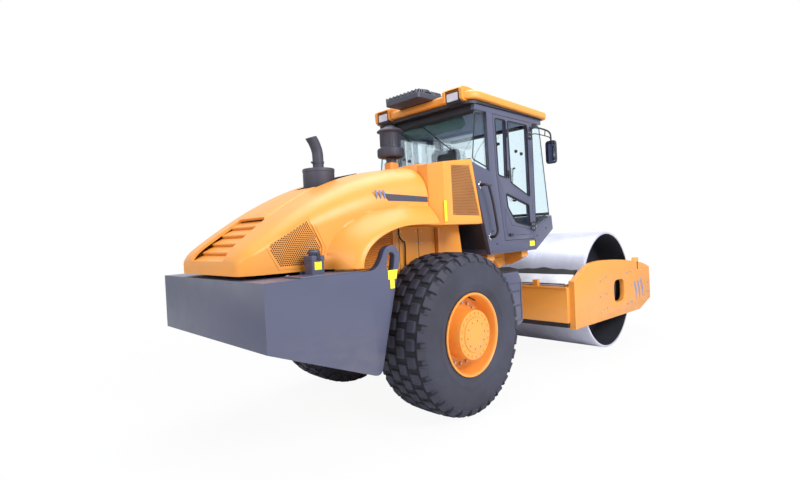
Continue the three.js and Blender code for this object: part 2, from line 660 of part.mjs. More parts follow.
// trims a piece that is fixed to the outside of the cab back to the cab wall
const wallSlab = box([0, 3000], [-CAB_HALF - SEAT_GAP, CAB_HALF + SEAT_GAP], [1000, 3150]);

function handrail(side) {
  const out = side * (CAB_HALF + 90);
  const wall = side * (CAB_HALF - 10);
  const rail = tube([[725, wall, 2204], [725, out - side * 25, 2204], [766, out, 2183],
    [828, out, 1998], [874, out, 1802], [890, out, 1689], [874, out - side * 25, 1647],
    [874, wall, 1637]], 15, 16);
  return cut(rail, wallSlab);
}

function mirror(side) {
  const reach = CAB_HALF + 145; // middle of the mirror
  const arm = tube([[1828, side * (CAB_HALF - 10), 2930], [1848, side * (reach - 76), 2951],
    [1992, side * (reach - 22), 2935], [2100, side * (reach - 3), 2904], [2110, side * reach, 2812]], 11, 12);
  const head = box([2087, 2133], span(side, reach - 72, reach + 72), [2544, 2832]);
  return cut(join(arm, head), wallSlab);
}

for (const [word, side] of Object.entries(SIDES)) {
  add(`cab_side_${word}`, cabSide(side), GREY);
  add(`door_${word}`, door(side), GREY);
  add(`door_glass_${word}`, doorGlass(side), PANE);
  add(`handrail_${word}`, handrail(side), BLACK);
  add(`mirror_${word}`, mirror(side), BLACK);
}

function stepBox(side) {
  const outline = [[800, 650], [1110, 650], [1170, 680], [1170, 1140], [1110, 1240], [800, 1240]];
  return prismY(outline, ...span(side, STEP_BOX_INNER + SEAT_GAP, WEIGHT_HALF));
}
for (const [word, side] of Object.entries(SIDES)) add(`step_box_${word}`, stepBox(side), GREY);

// ---------------------------------------------------------------- operator's place
function seat() {
  const outline = [
    [1100, 1951], [1590, 1951], [1610, 1991], [1590, 2066], [1200, 2066], [1125, 2731], [1040, 2731],
    [1070, 2071],
  ];
  return prismY(outline, -250, 250);
}
add('seat', seat(), CLOTH);
add('seat_base', box([1150, 1520], [-200, 200], [CAB_FLOOR[1] + SEAT_GAP, 1951 - SEAT_GAP]), BLACK);

function column() {
  const stalk = bar([COLUMN_FOOT[0], 0, COLUMN_FOOT[2] - 60], COLUMN_HEAD, 45, 12);
  const foot = box([1680, 1805], [-110, 110], [CAB_FLOOR[1] + SEAT_GAP, 1591]);
  return cut(join(stalk, foot), box([1000, 2500], [-500, 500], [1300, CAB_FLOOR[1] + SEAT_GAP]));
}
add('steering_column', column(), BLACK);

const columnAxis = new THREE.Vector3(...COLUMN_HEAD).sub(new THREE.Vector3(...COLUMN_FOOT)).normalize();
function steeringWheel() {
  const ring = new THREE.TorusGeometry(185, 15, 8, 32);
  ring.rotateX(Math.PI / 2);
  const hub = new THREE.CylinderGeometry(40, 45, 40, 16);
  const spokes = [0, 1, 2].map((i) => {
    const spoke = new THREE.BoxGeometry(150, 14, 28);
    spoke.translate(105, 0, 0);
    spoke.rotateY((2 * Math.PI * i) / 3);
    return spoke;
  });
  const turn = new THREE.Quaternion().setFromUnitVectors(new THREE.Vector3(0, 1, 0), columnAxis);
  const centre = new THREE.Vector3(...COLUMN_HEAD).addScaledVector(columnAxis, 20 + RUN_GAP);
  const solids = [ring, hub, ...spokes].map((geometry) => {
    geometry.applyQuaternion(turn);
    geometry.translate(centre.x, centre.y, centre.z);
    return toSolid(geometry);
  });
  return join(...solids);
}
add('steering_wheel', steeringWheel(), BLACK);

// ---------------------------------------------------------------- centre knuckle and steering cylinders
function knuckle() {
  const postZ = [LUG_LOW[1] + RUN_GAP, LUG_HIGH[0] - RUN_GAP];
  const post = box([PIVOT_X - 100, PIVOT_X + 100], [-115, 115], postZ);
  const block = box([PIVOT_X + 99, SWING_FACE_X - 60], [-115, 115], [SWING_Z - 140, SWING_Z + 140]);
  const flange = bar([SWING_FACE_X - 61, 0, SWING_Z], [SWING_FACE_X - RUN_GAP, 0, SWING_Z], SWING_R, 24);
  const [pinX, pinY] = STEER_PIN;
  const ears = earPlates().map(([z0, z1]) =>
    box([PIVOT_X + pinX - 60, PIVOT_X + pinX + 60], [-pinY - 75, pinY + 75], [z0, z1]));
  return join(post, block, flange, ...ears);
}
add('centre_knuckle', knuckle(), ORANGE);

function steeringCylinder(side) {
  const anchor = new THREE.Vector3(STEER_ANCHOR[0], side * STEER_ANCHOR[1], SWING_Z);
  const pin = new THREE.Vector3(PIVOT_X + STEER_PIN[0], side * STEER_PIN[1], SWING_Z);
  const run = pin.clone().sub(anchor).normalize();
  const at = (from, distance) => from.clone().addScaledVector(run, distance).toArray();
  const eye = (centre) => latheZ([[0, SWING_Z - STEER_EYE_HALF], [STEER_EYE_R, SWING_Z - STEER_EYE_HALF],
    [STEER_EYE_R, SWING_Z + STEER_EYE_HALF], [0, SWING_Z + STEER_EYE_HALF]], centre.x, centre.y, 16);
  const bore = bar(at(anchor, STEER_BORE_START), at(anchor, STEER_BARREL_END + 10), STEER_ROD_R + 1, 16);
  const shell = join(bar(at(anchor, STEER_BARREL_START), at(anchor, STEER_BARREL_END), STEER_BARREL_R, 16),
    bar(at(anchor, 10), at(anchor, STEER_BARREL_START + 2), 22, 12), eye(anchor));
  const rod = join(bar(at(anchor, STEER_ROD_START), at(pin, -20), STEER_ROD_R, 16), eye(pin));
  return { barrel: cut(shell, bore), rod };
}
for (const [word, side] of Object.entries(SIDES)) {
  const { barrel, rod } = steeringCylinder(side);
  add(`steer_barrel_${word}`, barrel, BLACK);
  add(`steer_rod_${word}`, rod, CHROME);
}

// ---------------------------------------------------------------- drum
function drum() {
  const bore = DRUM_R - DRUM_WALL;
  const edge = 8;
  const half = [
    [0, DRUM_HEAD_Y], [bore, DRUM_HEAD_Y], [bore, DRUM_HALF_WIDTH], [DRUM_R - edge, DRUM_HALF_WIDTH],
    [DRUM_R, DRUM_HALF_WIDTH - edge],
  ];
  const mirrored = half.map(([r, y]) => [r, -y]);
  return latheY([...mirrored, ...half.reverse()], WHEELBASE, DRUM_Z, DRUM_SIDES);
}
add('drum', drum(), STEEL);

function drumCarrier(side) {
  const face = SIDE_PLATE.inner - SEAT_GAP;
  const disc = [face - 70, face - 40];
  const start = DRUM_HEAD_Y + RUN_GAP;
  const profile = [[0, start], [170, start], [170, DRUM_HEAD_Y + 60], [120, DRUM_HEAD_Y + 80], [120, disc[0]],
    [CARRIER_R, disc[0]], [CARRIER_R, disc[1]], [0, disc[1]]];
  const body = latheY(profile.map(([r, y]) => [r, side * y]), WHEELBASE, DRUM_Z, 32);
  const buffers = CARRIER_BUFFERS.map(([dx, dz]) => bar([WHEELBASE + dx, side * (disc[1] - 2), DRUM_Z + dz],
    [WHEELBASE + dx, side * face, DRUM_Z + dz], 46, 12));
  return join(body, ...buffers);
}

// ---------------------------------------------------------------- front frame
function sidePlate(side) {
  // distances along X are from the drum's axle
  const at = (dx, z) => [WHEELBASE + dx, z];
  const outline = new THREE.Shape();
  outline.moveTo(...at(-1200, 455));
  outline.lineTo(...at(930, 395));
  outline.lineTo(FRONT_X, 520);
  outline.lineTo(FRONT_X, 1010);
  outline.quadraticCurveTo(...at(1100, 1100), ...at(950, 1118));
  outline.lineTo(...at(940, 1184));
  outline.lineTo(...at(860, 1184));
  outline.lineTo(...at(840, 1130));
  outline.quadraticCurveTo(...at(300, 1205), ...at(-120, 1222));
  outline.quadraticCurveTo(...at(-560, 1250), ...at(-800, 1205));
  outline.lineTo(...at(-1200, 1040));
  const hole = new THREE.Path();
  const [x0, x1] = PLATE_SLOT.x;
  const [z0, z1] = PLATE_SLOT.z;
  const radius = 110;
  hole.moveTo(x0, z0 + radius);
  hole.quadraticCurveTo(x0, z0, x0 + radius, z0);
  hole.lineTo(x1 - radius, z0);
  hole.quadraticCurveTo(x1, z0, x1, z0 + radius);
  hole.lineTo(x1, z1 - radius);
  hole.quadraticCurveTo(x1, z1, x1 - radius, z1);
  hole.lineTo(x0 + radius, z1);
  hole.quadraticCurveTo(x0, z1, x0, z1 - radius);
  outline.holes.push(hole);
  return prismY(outline, ...span(side, SIDE_PLATE.inner, SIDE_PLATE.outer), 4);
}
for (const [word, side] of Object.entries(SIDES)) {
  add(`frame_side_${word}`, sidePlate(side), ORANGE);
  add(`drum_carrier_${word}`, drumCarrier(side), IRON);
}

const beamY = [-SIDE_PLATE.inner + SEAT_GAP, SIDE_PLATE.inner - SEAT_GAP];
function rearBeam() {
  const yoke = bar([SWING_FACE_X, 0, SWING_Z], [BEAM_REAR.x[0] + 1, 0, SWING_Z], SWING_R, 24);
  return join(box(BEAM_REAR.x, beamY, BEAM_REAR.z), yoke);
}
add('frame_beam_rear', rearBeam(), ORANGE);
add('frame_beam_front', box(BEAM_FRONT.x, beamY, BEAM_FRONT.z), ORANGE);

function scraper() {
  const foot = BEAM_REAR.z[1] + SEAT_GAP;
  const [back, front] = BEAM_REAR.x;
  const outline = [
    [back + 80, foot], [front - 10, foot], [front + 240, foot + 175], [front + 225, foot + 190],
    [front - 20, foot + 22], [back + 80, foot + 22],
  ];
  return prismY(outline, -980, 980);
}
add('drum_scraper', scraper(), BLACK);

roller.position.x = -(REAR_X + FRONT_X) / 2;
export default roller;
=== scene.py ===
"""Looks of the single-drum road roller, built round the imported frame. Metres; X forward, Y left, Z up."""

import math

import bmesh
import bpy
from bpy.props import FloatProperty, FloatVectorProperty, IntProperty, PointerProperty
from mathutils import Matrix, Vector


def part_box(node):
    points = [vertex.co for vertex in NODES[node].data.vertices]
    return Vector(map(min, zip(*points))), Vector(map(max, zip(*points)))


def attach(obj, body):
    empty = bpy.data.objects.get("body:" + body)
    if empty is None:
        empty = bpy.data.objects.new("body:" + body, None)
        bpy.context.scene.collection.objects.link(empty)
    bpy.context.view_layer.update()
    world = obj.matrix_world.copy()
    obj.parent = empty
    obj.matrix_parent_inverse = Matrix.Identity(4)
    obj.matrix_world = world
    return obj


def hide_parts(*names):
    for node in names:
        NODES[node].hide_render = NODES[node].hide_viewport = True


bl_info = {
    "name": "Road Roller Looks",
    "version": (1, 0, 0),
    "blender": (4, 5, 0),
    "location": "3D View > Sidebar > Road Roller",
    "description": "Builds the finished surfaces and small parts of a single-drum road roller",
    "category": "Object",
}

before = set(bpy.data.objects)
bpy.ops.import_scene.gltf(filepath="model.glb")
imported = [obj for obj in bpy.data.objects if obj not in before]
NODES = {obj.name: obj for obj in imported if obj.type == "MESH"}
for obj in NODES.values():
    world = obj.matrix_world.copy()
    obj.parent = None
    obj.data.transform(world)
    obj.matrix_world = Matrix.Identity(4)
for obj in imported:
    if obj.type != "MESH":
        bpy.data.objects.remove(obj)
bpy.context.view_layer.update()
SIDES = {"right": -1, "left": 1}


def middle(node):
    low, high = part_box(node)
    return (low + high) / 2


AXLE_X = middle("rim_right").x  # rear axle, from which the distances along X below are measured
WHEEL_Z = middle("rim_right").z
DRUM_X = middle("drum").x - AXLE_X
DRUM_Z = middle("drum").z


# ---------------------------------------------------------------- gathered shapes
class Shape:
    """Closed solids gathered before they become one mesh. X is measured from the rear axle."""

    def __init__(self):
        self.points = []
        self.faces = []
        self.finishes = []

    def add(self, solid, finish=0):
        points, faces = solid
        start = len(self.points)
        self.points += [Vector(p) for p in points]
        self.faces += [[start + i for i in f] for f in faces]
        self.finishes += [finish] * len(faces)
        return self

    def mesh(self, name):
        made = bpy.data.meshes.new(name)
        made.from_pydata([(p.x + AXLE_X, p.y, p.z) for p in self.points], [], self.faces)
        made.polygons.foreach_set("material_index", self.finishes)
        bm = bmesh.new()
        bm.from_mesh(made)
        bmesh.ops.recalc_face_normals(bm, faces=bm.faces)
        bm.to_mesh(made)
        bm.free()
        return made


def swept(rings, closed_ends=True):
    """Skin over rings of equal length; each ring is a closed loop of points."""
    count = len(rings[0])
    points = [p for ring in rings for p in ring]
    faces = []
    for a in range(len(rings) - 1):
        for i in range(count):
            j = (i + 1) % count
            faces.append([a * count + i, a * count + j, (a + 1) * count + j, (a + 1) * count + i])
    if closed_ends:
        faces += [list(range(count))[::-1], [(len(rings) - 1) * count + i for i in range(count)]]
    return points, faces


def prism(outline, axis, start, end):
    """Outline of two coordinates, run along the third: X takes (y, z), Y takes (x, z), Z takes (x, y)."""
    place = {
        "X": lambda p, t: (t, p[0], p[1]),
        "Y": lambda p, t: (p[0], t, p[1]),
        "Z": lambda p, t: (p[0], p[1], t),
    }[axis]
    return swept([[place(p, t) for p in outline] for t in (start, end)])


def block(x, y, z):
    return prism([(x[0], z[0]), (x[1], z[0]), (x[1], z[1]), (x[0], z[1])], "Y", *y)


def slab(corners, push):
    """Flat outline in space given the thickness and direction of push."""
    push = Vector(push)
    return swept([[Vector(c) for c in corners], [Vector(c) + push for c in corners]])


def lathe(profile, centre, axis, steps=48):
    """Closed profile of (radius, along) pairs turned about a line through centre; radius 0 is a pole."""
    along = Vector([float(letter == axis) for letter in "XYZ"]) if isinstance(axis,
        str) else Vector(axis).normalized()
    side = along.orthogonal().normalized()
    other = along.cross(side)
    points, rows = [], []
    for radius, distance in profile:
        base = Vector(centre) + along * distance
        if radius < 1e-6:
            rows.append([len(points)])
            points.append(base)
            continue
        rows.append(range(len(points), len(points) + steps))
        for i in range(steps):
            turn = 2 * math.pi * i / steps
            points.append(base + (side * math.cos(turn) + other * math.sin(turn)) * radius)
    faces = []
    ends = list(zip(rows, rows[1:]))
    if profile[0][0] > 1e-6:
        ends.append((rows[-1], rows[0]))
    for low, high in ends:
        for i in range(steps):
            j = (i + 1) % steps
            loop = [low[i % len(low)], low[j % len(low)], high[j % len(high)], high[i % len(high)]]
            loop = list(dict.fromkeys(loop))
            if len(loop) > 2:
                faces.append(loop)
    return points, faces


def smooth_path(points, parts=6):
    """Catmull-Rom points through the given ones."""
    points = [Vector(p) for p in points]
    padded = [points[0] * 2 - points[1], *points, points[-1] * 2 - points[-2]]
    made = []
    for a, b, c, d in zip(padded, padded[1:], padded[2:], padded[3:]):
        for i in range(parts):
            t = i / parts
            made.append(0.5 * (2 * b + (c - a) * t + (2 * a - 5 * b + 4 * c - d) * t * t + (3 * b - a - 3
                * c + d) * t ** 3))
    return made + [points[-1]]


def pipe(points, radius, sides=12, parts=6):
    """Round bar along a smooth path."""
    path = smooth_path(points, parts) if parts > 1 else [Vector(p) for p in points]
    side = (path[1] - path[0]).orthogonal().normalized()
    rings = []
    for i, point in enumerate(path):
        run = (path[min(i + 1, len(path) - 1)] - path[max(i - 1, 0)]).normalized()
        side = (side - run * side.dot(run)).normalized()
        other = run.cross(side)
        turns = [2 * math.pi * k / sides for k in range(sides)]
        rings.append([point + (side * math.cos(t) + other * math.sin(t)) * radius for t in turns])
    return swept(rings)


def rod(start, end, radius, sides=16):
    return pipe([start, end], radius, sides, 1)


def rounded(outline, radius, parts=4):
    """Outline of two coordinates with its corners rounded."""
    made = []
    count = len(outline)
    for i in range(count):
        before, corner, after = (Vector(outline[(i + k) % count]) for k in (-1, 0, 1))
        back, on = (before - corner), (after - corner)
        reach = min(radius, back.length * 0.45, on.length * 0.45)
        first, last = corner + back.normalized() * reach, corner + on.normalized() * reach
        for k in range(parts + 1):
            t = k / parts
            made.append(tuple(first * (1 - t) ** 2 + corner * 2 * t * (1 - t) + last * t * t))
    return made


def inset(outline, distance):
    """Convex outline moved inwards."""
    count = len(outline)
    area = sum(outline[i][0] * outline[(i + 1) % count][1] - outline[(i + 1) % count][0] * outline[i][1]
               for i in range(count))
    turn = 1 if area > 0 else -1
    lines = []
    for i in range(count):
        a, b = Vector(outline[i]), Vector(outline[(i + 1) % count])
        run = (b - a).normalized()
        inwards = Vector((-run.y, run.x)) * turn
        lines.append((a + inwards * distance, run))
    made = []
    for i in range(count):
        (p, r), (q, s) = lines[i - 1], lines[i]
        cross = r.x * s.y - r.y * s.x
        t = ((q - p).x * s.y - (q - p).y * s.x) / cross if abs(cross) > 1e-6 else 0.0
        made.append(tuple(p + r * t))
    return made


def frame_strip(outline, width, axis, start, end):
    """Closed strip that follows an outline and is open in the middle."""
    inner = inset(outline, width)
    place = {"X": lambda p, t: (t, *p), "Y": lambda p, t: (p[0], t, p[1]), "Z": lambda p, t: (*p, t)}[axis]
    rings = [[place(p, t) for p in loop] for loop, t in ((outline, start), (outline, end), (inner, end),
        (inner, start))]
    count = len(outline)
    points = [p for ring in rings for p in ring]
    faces = [[a * count + i, a * count + (i + 1) % count, b * count + (i + 1) % count, b * count + i]
             for a, b in ((0, 1), (1, 2), (2, 3), (3, 0)) for i in range(count)]
    return points, faces


def copied(*names):
    """Clean copy of CAD nodes: doubles merged and flat faces joined."""
    bm = bmesh.new()
    for name in names:
        bm.from_mesh(NODES[name].data)
    bmesh.ops.remove_doubles(bm, verts=bm.verts, dist=2e-5)
    bmesh.ops.dissolve_limit(bm, angle_limit=math.radians(0.8), verts=bm.verts, edges=bm.edges)
    made = bpy.data.meshes.new(names[0])
    bm.to_mesh(made)
    bm.free()
    return made


def put(name, mesh):
    thing = bpy.data.objects.new(name, mesh)
    bpy.context.scene.collection.objects.link(thing)
    return thing


def evaluated_mesh(thing):
    """Mesh of an object with its modifiers applied; the object is then removed."""
    graph = bpy.context.evaluated_depsgraph_get()
    mesh = bpy.data.meshes.new_from_object(thing.evaluated_get(graph))
    bpy.data.objects.remove(thing)
    return mesh


def piece(name, source, finishes, body, soft_edge=0.0, angle=35, stands_for=(), segments=2):
    """One finished piece on its body. soft_edge is the width of the rounding along its edges."""
    mesh = source.mesh(name) if isinstance(source, Shape) else source
    mesh.name = name
    mesh.materials.clear()
    for finish in finishes if isinstance(finishes, (list, tuple)) else [finishes]:
        mesh.materials.append(finish)
    mesh.shade_smooth()
    thing = put(name, mesh)
    if soft_edge:
        edge = thing.modifiers.new("Softened edges", "BEVEL")
        edge.width = soft_edge
        edge.segments = segments
        edge.limit_method = "ANGLE"
        edge.angle_limit = math.radians(28)
        edge.harden_normals = True
        edge.use_clamp_overlap = True
    else:
        mesh.set_sharp_from_angle(angle=math.radians(angle))
    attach(thing, body)
    if stands_for:
        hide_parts(*stands_for)
    return thing


# ---------------------------------------------------------------- node trees for what repeats
def link_in(tree, kind, values=None, **settings):
    """New node with its settings made and its sockets given a value or a link."""
    made = tree.nodes.new(kind)
    for key, value in settings.items():
        setattr(made, key, value)
    for socket, value in (values or {}).items():
        if isinstance(value, bpy.types.NodeSocket):
            tree.links.new(value, made.inputs[socket])
        else:
            made.inputs[socket].default_value = value
    return made


def growth_tree(name, inputs):
    """Geometry tree that starts with a mesh, the named inputs and the finish."""
    tree = bpy.data.node_groups.new(name, "GeometryNodeTree")
    tree.interface.new_socket("Geometry", in_out="INPUT", socket_type="NodeSocketGeometry")
    for label, kind in [*inputs, ("Finish", "Material")]:
        tree.interface.new_socket(label, in_out="INPUT", socket_type="NodeSocket" + kind)
    tree.interface.new_socket("Geometry", in_out="OUTPUT", socket_type="NodeSocketGeometry")
    return tree, tree.nodes.new("NodeGroupInput").outputs


def end_growth(tree, given, points, instance, rotation=None):
    """Puts the instance on the points, makes it real and gives it the finish."""
    values = {"Points": points, "Instance": instance}
    if rotation:
        values["Rotation"] = rotation
    spread = link_in(tree, "GeometryNodeInstanceOnPoints", values)
    real = link_in(tree, "GeometryNodeRealizeInstances", {"Geometry": spread.outputs["Instances"]})
    coloured = link_in(tree, "GeometryNodeSetMaterial", {"Geometry": real.outputs[0],
        "Material": given["Finish"]})
    leave = tree.nodes.new("NodeGroupOutput")
    tree.links.new(coloured.outputs[0], leave.inputs[0])
    return tree


def studs_tree():
    """Short round or many-sided studs that stand on points and face each point's own direction."""
    tree, given = growth_tree("Studs on points", [("Sides", "Int"), ("Radius", "Float"), ("Height", "Float")])
    stud = link_in(tree, "GeometryNodeMeshCylinder",
                   {"Vertices": given["Sides"], "Radius": given["Radius"], "Depth": given["Height"]})
    half = link_in(tree, "ShaderNodeMath", {0: given["Height"], 1: 0.5}, operation="MULTIPLY")
    lift = link_in(tree, "ShaderNodeCombineXYZ", {"Z": half.outputs[0]})
    stood = link_in(tree, "GeometryNodeTransform", {"Geometry": stud.outputs["Mesh"],
        "Translation": lift.outputs[0]})
    facing = link_in(tree, "GeometryNodeInputNamedAttribute", {"Name": "facing"}, data_type="FLOAT_VECTOR")
    turn = link_in(tree, "FunctionNodeAlignRotationToVector", {"Vector": facing.outputs[0]}, axis="Z")
    return end_growth(tree, given, given["Geometry"], stood.outputs[0], turn.outputs[0])


def turned_tree():
    """Copies of the mesh, evenly turned about a line through a centre."""
    tree, given = growth_tree("Turned copies", [("Count", "Int"), ("Centre", "Vector"), ("Axis", "Vector")])
    spots = link_in(tree, "GeometryNodeMeshLine",
                    {"Count": given["Count"], "Start Location": given["Centre"], "Offset": (0, 0, 0)})
    back = link_in(tree, "ShaderNodeVectorMath", {0: given["Centre"], 1: (-1, -1, -1)}, operation="MULTIPLY")
    moved = link_in(tree, "GeometryNodeTransform", {"Geometry": given["Geometry"],
        "Translation": back.outputs[0]})
    share = link_in(tree, "ShaderNodeMath", {0: 2 * math.pi, 1: given["Count"]}, operation="DIVIDE")
    order = tree.nodes.new("GeometryNodeInputIndex")
    angle = link_in(tree, "ShaderNodeMath", {0: share.outputs[0], 1: order.outputs[0]}, operation="MULTIPLY")
    euler = link_in(tree, "ShaderNodeVectorMath", {0: given["Axis"], "Scale": angle.outputs[0]},
        operation="SCALE")
    turn = link_in(tree, "FunctionNodeEulerToRotation", {0: euler.outputs[0]})
    return end_growth(tree, given, spots.outputs[0], moved.outputs[0], turn.outputs[0])


def row_tree():
    """Copies of the mesh in a straight row."""
    tree, given = growth_tree("Row of copies", [("Count", "Int"), ("Step", "Vector")])
    spots = link_in(tree, "GeometryNodeMeshLine", {"Count": given["Count"], "Offset": given["Step"]})
    return end_growth(tree, given, spots.outputs[0], given["Geometry"])


TREES = {}


def grow(kind, mesh, finish, values):
    """Mesh that a tree makes from a starting mesh."""
    tree = TREES.get(kind) or TREES.setdefault(kind, {"studs": studs_tree, "turned": turned_tree,
        "row": row_tree}[kind]())
    seed = put("seed", mesh)
    growth = seed.modifiers.new(tree.name, "NODES")
    growth.node_group = tree
    sockets = {s.name: s.identifier for s in tree.interface.items_tree if s.item_type == "SOCKET"
        and s.in_out == "INPUT"}
    for label, value in {**values, "Finish": finish}.items():
        growth[sockets[label]] = value
    return evaluated_mesh(seed)


def stud_mesh(points, facings, finish, sides, radius, height):
    """Studs of one size. Points are measured from the rear axle."""
    spots = bpy.data.meshes.new("spots")
    spots.from_pydata([(p[0] + AXLE_X, p[1], p[2]) for p in points], [], [])
    facing = spots.attributes.new("facing", "FLOAT_VECTOR", "POINT")
    facing.data.foreach_set("vector", [c for f in facings for c in f])
    return grow("studs", spots, finish, {"Sides": sides, "Radius": radius, "Height": height})


def hex_points(outline, pitch):
    """Points of a close-packed grid inside an outline of two coordinates."""
    xs, zs = [p[0] for p in outline], [p[1] for p in outline]
    made = []
    row, z = 0, min(zs) + pitch / 2
    while z < max(zs):
        x = min(xs) + (pitch / 2 if row % 2 else pitch)
        while x < max(xs):
            if inside((x, z), outline):
                made.append((x, z))
            x += pitch
        row, z = row + 1, z + pitch * 0.866
    return made


def inside(point, outline):
    x, z = point
    found = False
    for (x0, z0), (x1, z1) in zip(outline, [*outline[1:], outline[0]]):
        if (z0 > z) != (z1 > z) and x < x0 + (x1 - x0) * (z - z0) / (z1 - z0):
            found = not found
    return found


# ---------------------------------------------------------------- finishes
def shader_group(name, inputs, outputs):
    tree = bpy.data.node_groups.new(name, "ShaderNodeTree")
    for label, kind, value in inputs:
        socket = tree.interface.new_socket(label, in_out="INPUT", socket_type="NodeSocket" + kind)
        if value is not None:
            socket.default_value = value
    for label, kind in outputs:
        tree.interface.new_socket(label, in_out="OUTPUT", socket_type="NodeSocket" + kind)
    return tree, tree.nodes.new("NodeGroupInput").outputs, tree.nodes.new("NodeGroupOutput").inputs


def spread_value(tree, source, low, high, start=0.3, end=0.7):
    return link_in(tree, "ShaderNodeMapRange", {"Value": source, "From Min": start, "From Max": end,
        "To Min": low, "To Max": high}).outputs[0]


def noise(tree, vector, scale, detail=3.0):
    return link_in(tree, "ShaderNodeTexNoise", {"Vector": vector, "Scale": scale,
        "Detail": detail}).outputs["Fac"]


def scaled(tree, vector, factors):
    return link_in(tree, "ShaderNodeVectorMath", {0: vector, 1: factors}, operation="MULTIPLY").outputs[0]


def mixed(tree, mask, first, second, blend="MIX"):
    made = tree.nodes.new("ShaderNodeMix")
    made.data_type = "RGBA"
    made.blend_type = blend
    for index, value in ((0, mask), (6, first), (7, second)):
        if isinstance(value, bpy.types.NodeSocket):
            tree.links.new(value, made.inputs[index])
        else:
            made.inputs[index].default_value = value
    return made.outputs[2]


def lacquer_group():
    """Sprayed paint: slight shade drift, fine ripple and road dust that gathers low down."""
    tree, given, leave = shader_group("Sprayed lacquer", [("Vector", "Vector", None), ("Paint", "Color",
        (0.8, 0.4, 0.1, 1)), ("Dust", "Color", (0.5, 0.45, 0.4, 1)), ("Dust Top", "Float", 1.2),
        ("Dust Share", "Float", 0.3), ("Gloss", "Float", 0.3)], [("Color", "Color"),
            ("Roughness", "Float"), ("Height", "Float")])
    vector = given["Vector"]
    drift = noise(tree, vector, 1.3, 2.0)
    shade = link_in(tree, "ShaderNodeHueSaturation", {"Color": given["Paint"], "Value": spread_value(tree,
        drift, 0.965, 1.03)})
    height = link_in(tree, "ShaderNodeSeparateXYZ", {0: vector}).outputs["Z"]
    low = link_in(tree, "ShaderNodeMapRange", {"Value": height, "From Min": given["Dust Top"],
        "From Max": 0.1, "To Min": 0.0, "To Max": 1.0})
    patch = spread_value(tree, noise(tree, scaled(tree, vector, (3, 3, 7)), 2.4, 7.0), 0.0, 1.0, 0.38, 0.66)
    mask = link_in(tree, "ShaderNodeMath", {0: low.outputs[0], 1: patch}, operation="MULTIPLY")
    dusty = link_in(tree, "ShaderNodeMath", {0: mask.outputs[0], 1: given["Dust Share"]},
        operation="MULTIPLY")
    tree.links.new(mixed(tree, dusty.outputs[0], shade.outputs[0], given["Dust"]), leave["Color"])
    smear = spread_value(tree, noise(tree, vector, 5.0, 4.0), -0.04, 0.05)
    rough = link_in(tree, "ShaderNodeMath", {0: given["Gloss"], 1: smear}, operation="ADD")
    dull = link_in(tree, "ShaderNodeMath", {0: dusty.outputs[0], 1: 0.6, 2: rough.outputs[0]},
        operation="MULTIPLY_ADD")
    tree.links.new(dull.outputs[0], leave["Roughness"])
    tree.links.new(noise(tree, vector, 130.0, 1.0), leave["Height"])
    return tree


def grain_group():
    """Moulded or cast grain with a little variation of its colour."""
    tree, given, leave = shader_group("Moulded grain", [("Vector", "Vector", None), ("Base", "Color",
        (0.1, 0.1, 0.1, 1)), ("Light", "Color", (0.2, 0.2, 0.2, 1)), ("Grain Scale", "Float", 300.0),
        ("Patch Scale", "Float", 4.0)], [("Color", "Color"), ("Mask", "Float"), ("Height", "Float")])
    patch = spread_value(tree, noise(tree, given["Vector"], given["Patch Scale"], 6.0), 0.0, 1.0)
    tree.links.new(mixed(tree, patch, given["Base"], given["Light"]), leave["Color"])
    tree.links.new(patch, leave["Mask"])
    cells = link_in(tree, "ShaderNodeTexVoronoi", {"Vector": given["Vector"], "Scale": given["Grain Scale"]})
    tree.links.new(cells.outputs["Distance"], leave["Height"])
    return tree


def rolled_group():
    """Bare steel worn bright in bands round the drum, with faint tarnish."""
    tree, given, leave = shader_group("Rolled steel", [("Vector", "Vector", None), ("Bright", "Color",
        (0.7, 0.7, 0.75, 1)), ("Tarnish", "Color", (0.4, 0.4, 0.43, 1))], [("Color", "Color"),
            ("Roughness", "Float"), ("Height", "Float")])
    bands = noise(tree, scaled(tree, given["Vector"], (0.6, 26, 0.6)), 1.6, 8.0)
    blots = noise(tree, given["Vector"], 2.2, 7.0)
    both = link_in(tree, "ShaderNodeMath", {0: bands, 1: 0.30, 2: blots}, operation="MULTIPLY_ADD")
    mask = spread_value(tree, both.outputs[0], 0.0, 1.0, 0.45, 0.90)
    tree.links.new(mixed(tree, mask, given["Bright"], given["Tarnish"]), leave["Color"])
    tree.links.new(spread_value(tree, bands, 0.38, 0.46), leave["Roughness"])
    tree.links.new(bands, leave["Height"])
    return tree


def weave_group():
    """Plain woven cloth."""
    tree, given, leave = shader_group("Seat weave", [("Vector", "Vector", None), ("Yarn", "Color",
        (0.03, 0.03, 0.035, 1)), ("Fleck", "Color", (0.09, 0.09, 0.1, 1))], [("Color", "Color"),
            ("Height", "Float")])
    threads = [link_in(tree, "ShaderNodeTexWave", {"Vector": given["Vector"], "Scale": 90.0,
        "Distortion": 0.6}, bands_direction=axis).outputs["Fac"] for axis in ("X", "Y", "Z")]
    first = link_in(tree, "ShaderNodeMath", {0: threads[0], 1: threads[1]}, operation="MULTIPLY")
    cloth = link_in(tree, "ShaderNodeMath", {0: first.outputs[0], 1: threads[2]}, operation="ADD")
    tree.links.new(mixed(tree, noise(tree, given["Vector"], 400.0, 2.0), given["Yarn"], given["Fleck"]),
        leave["Color"])
    tree.links.new(cloth.outputs[0], leave["Height"])
    return tree


GROUPS = {}
GROUP_MAKERS = {"lacquer": lacquer_group, "grain": grain_group, "rolled": rolled_group, "weave": weave_group}


def colour(srgb, alpha=1.0):
    """Scene-linear colour from the display values of a swatch."""
    return (*[c / 12.92 if c <= 0.04045 else ((c + 0.055) / 1.055) ** 2.4 for c in srgb], alpha)


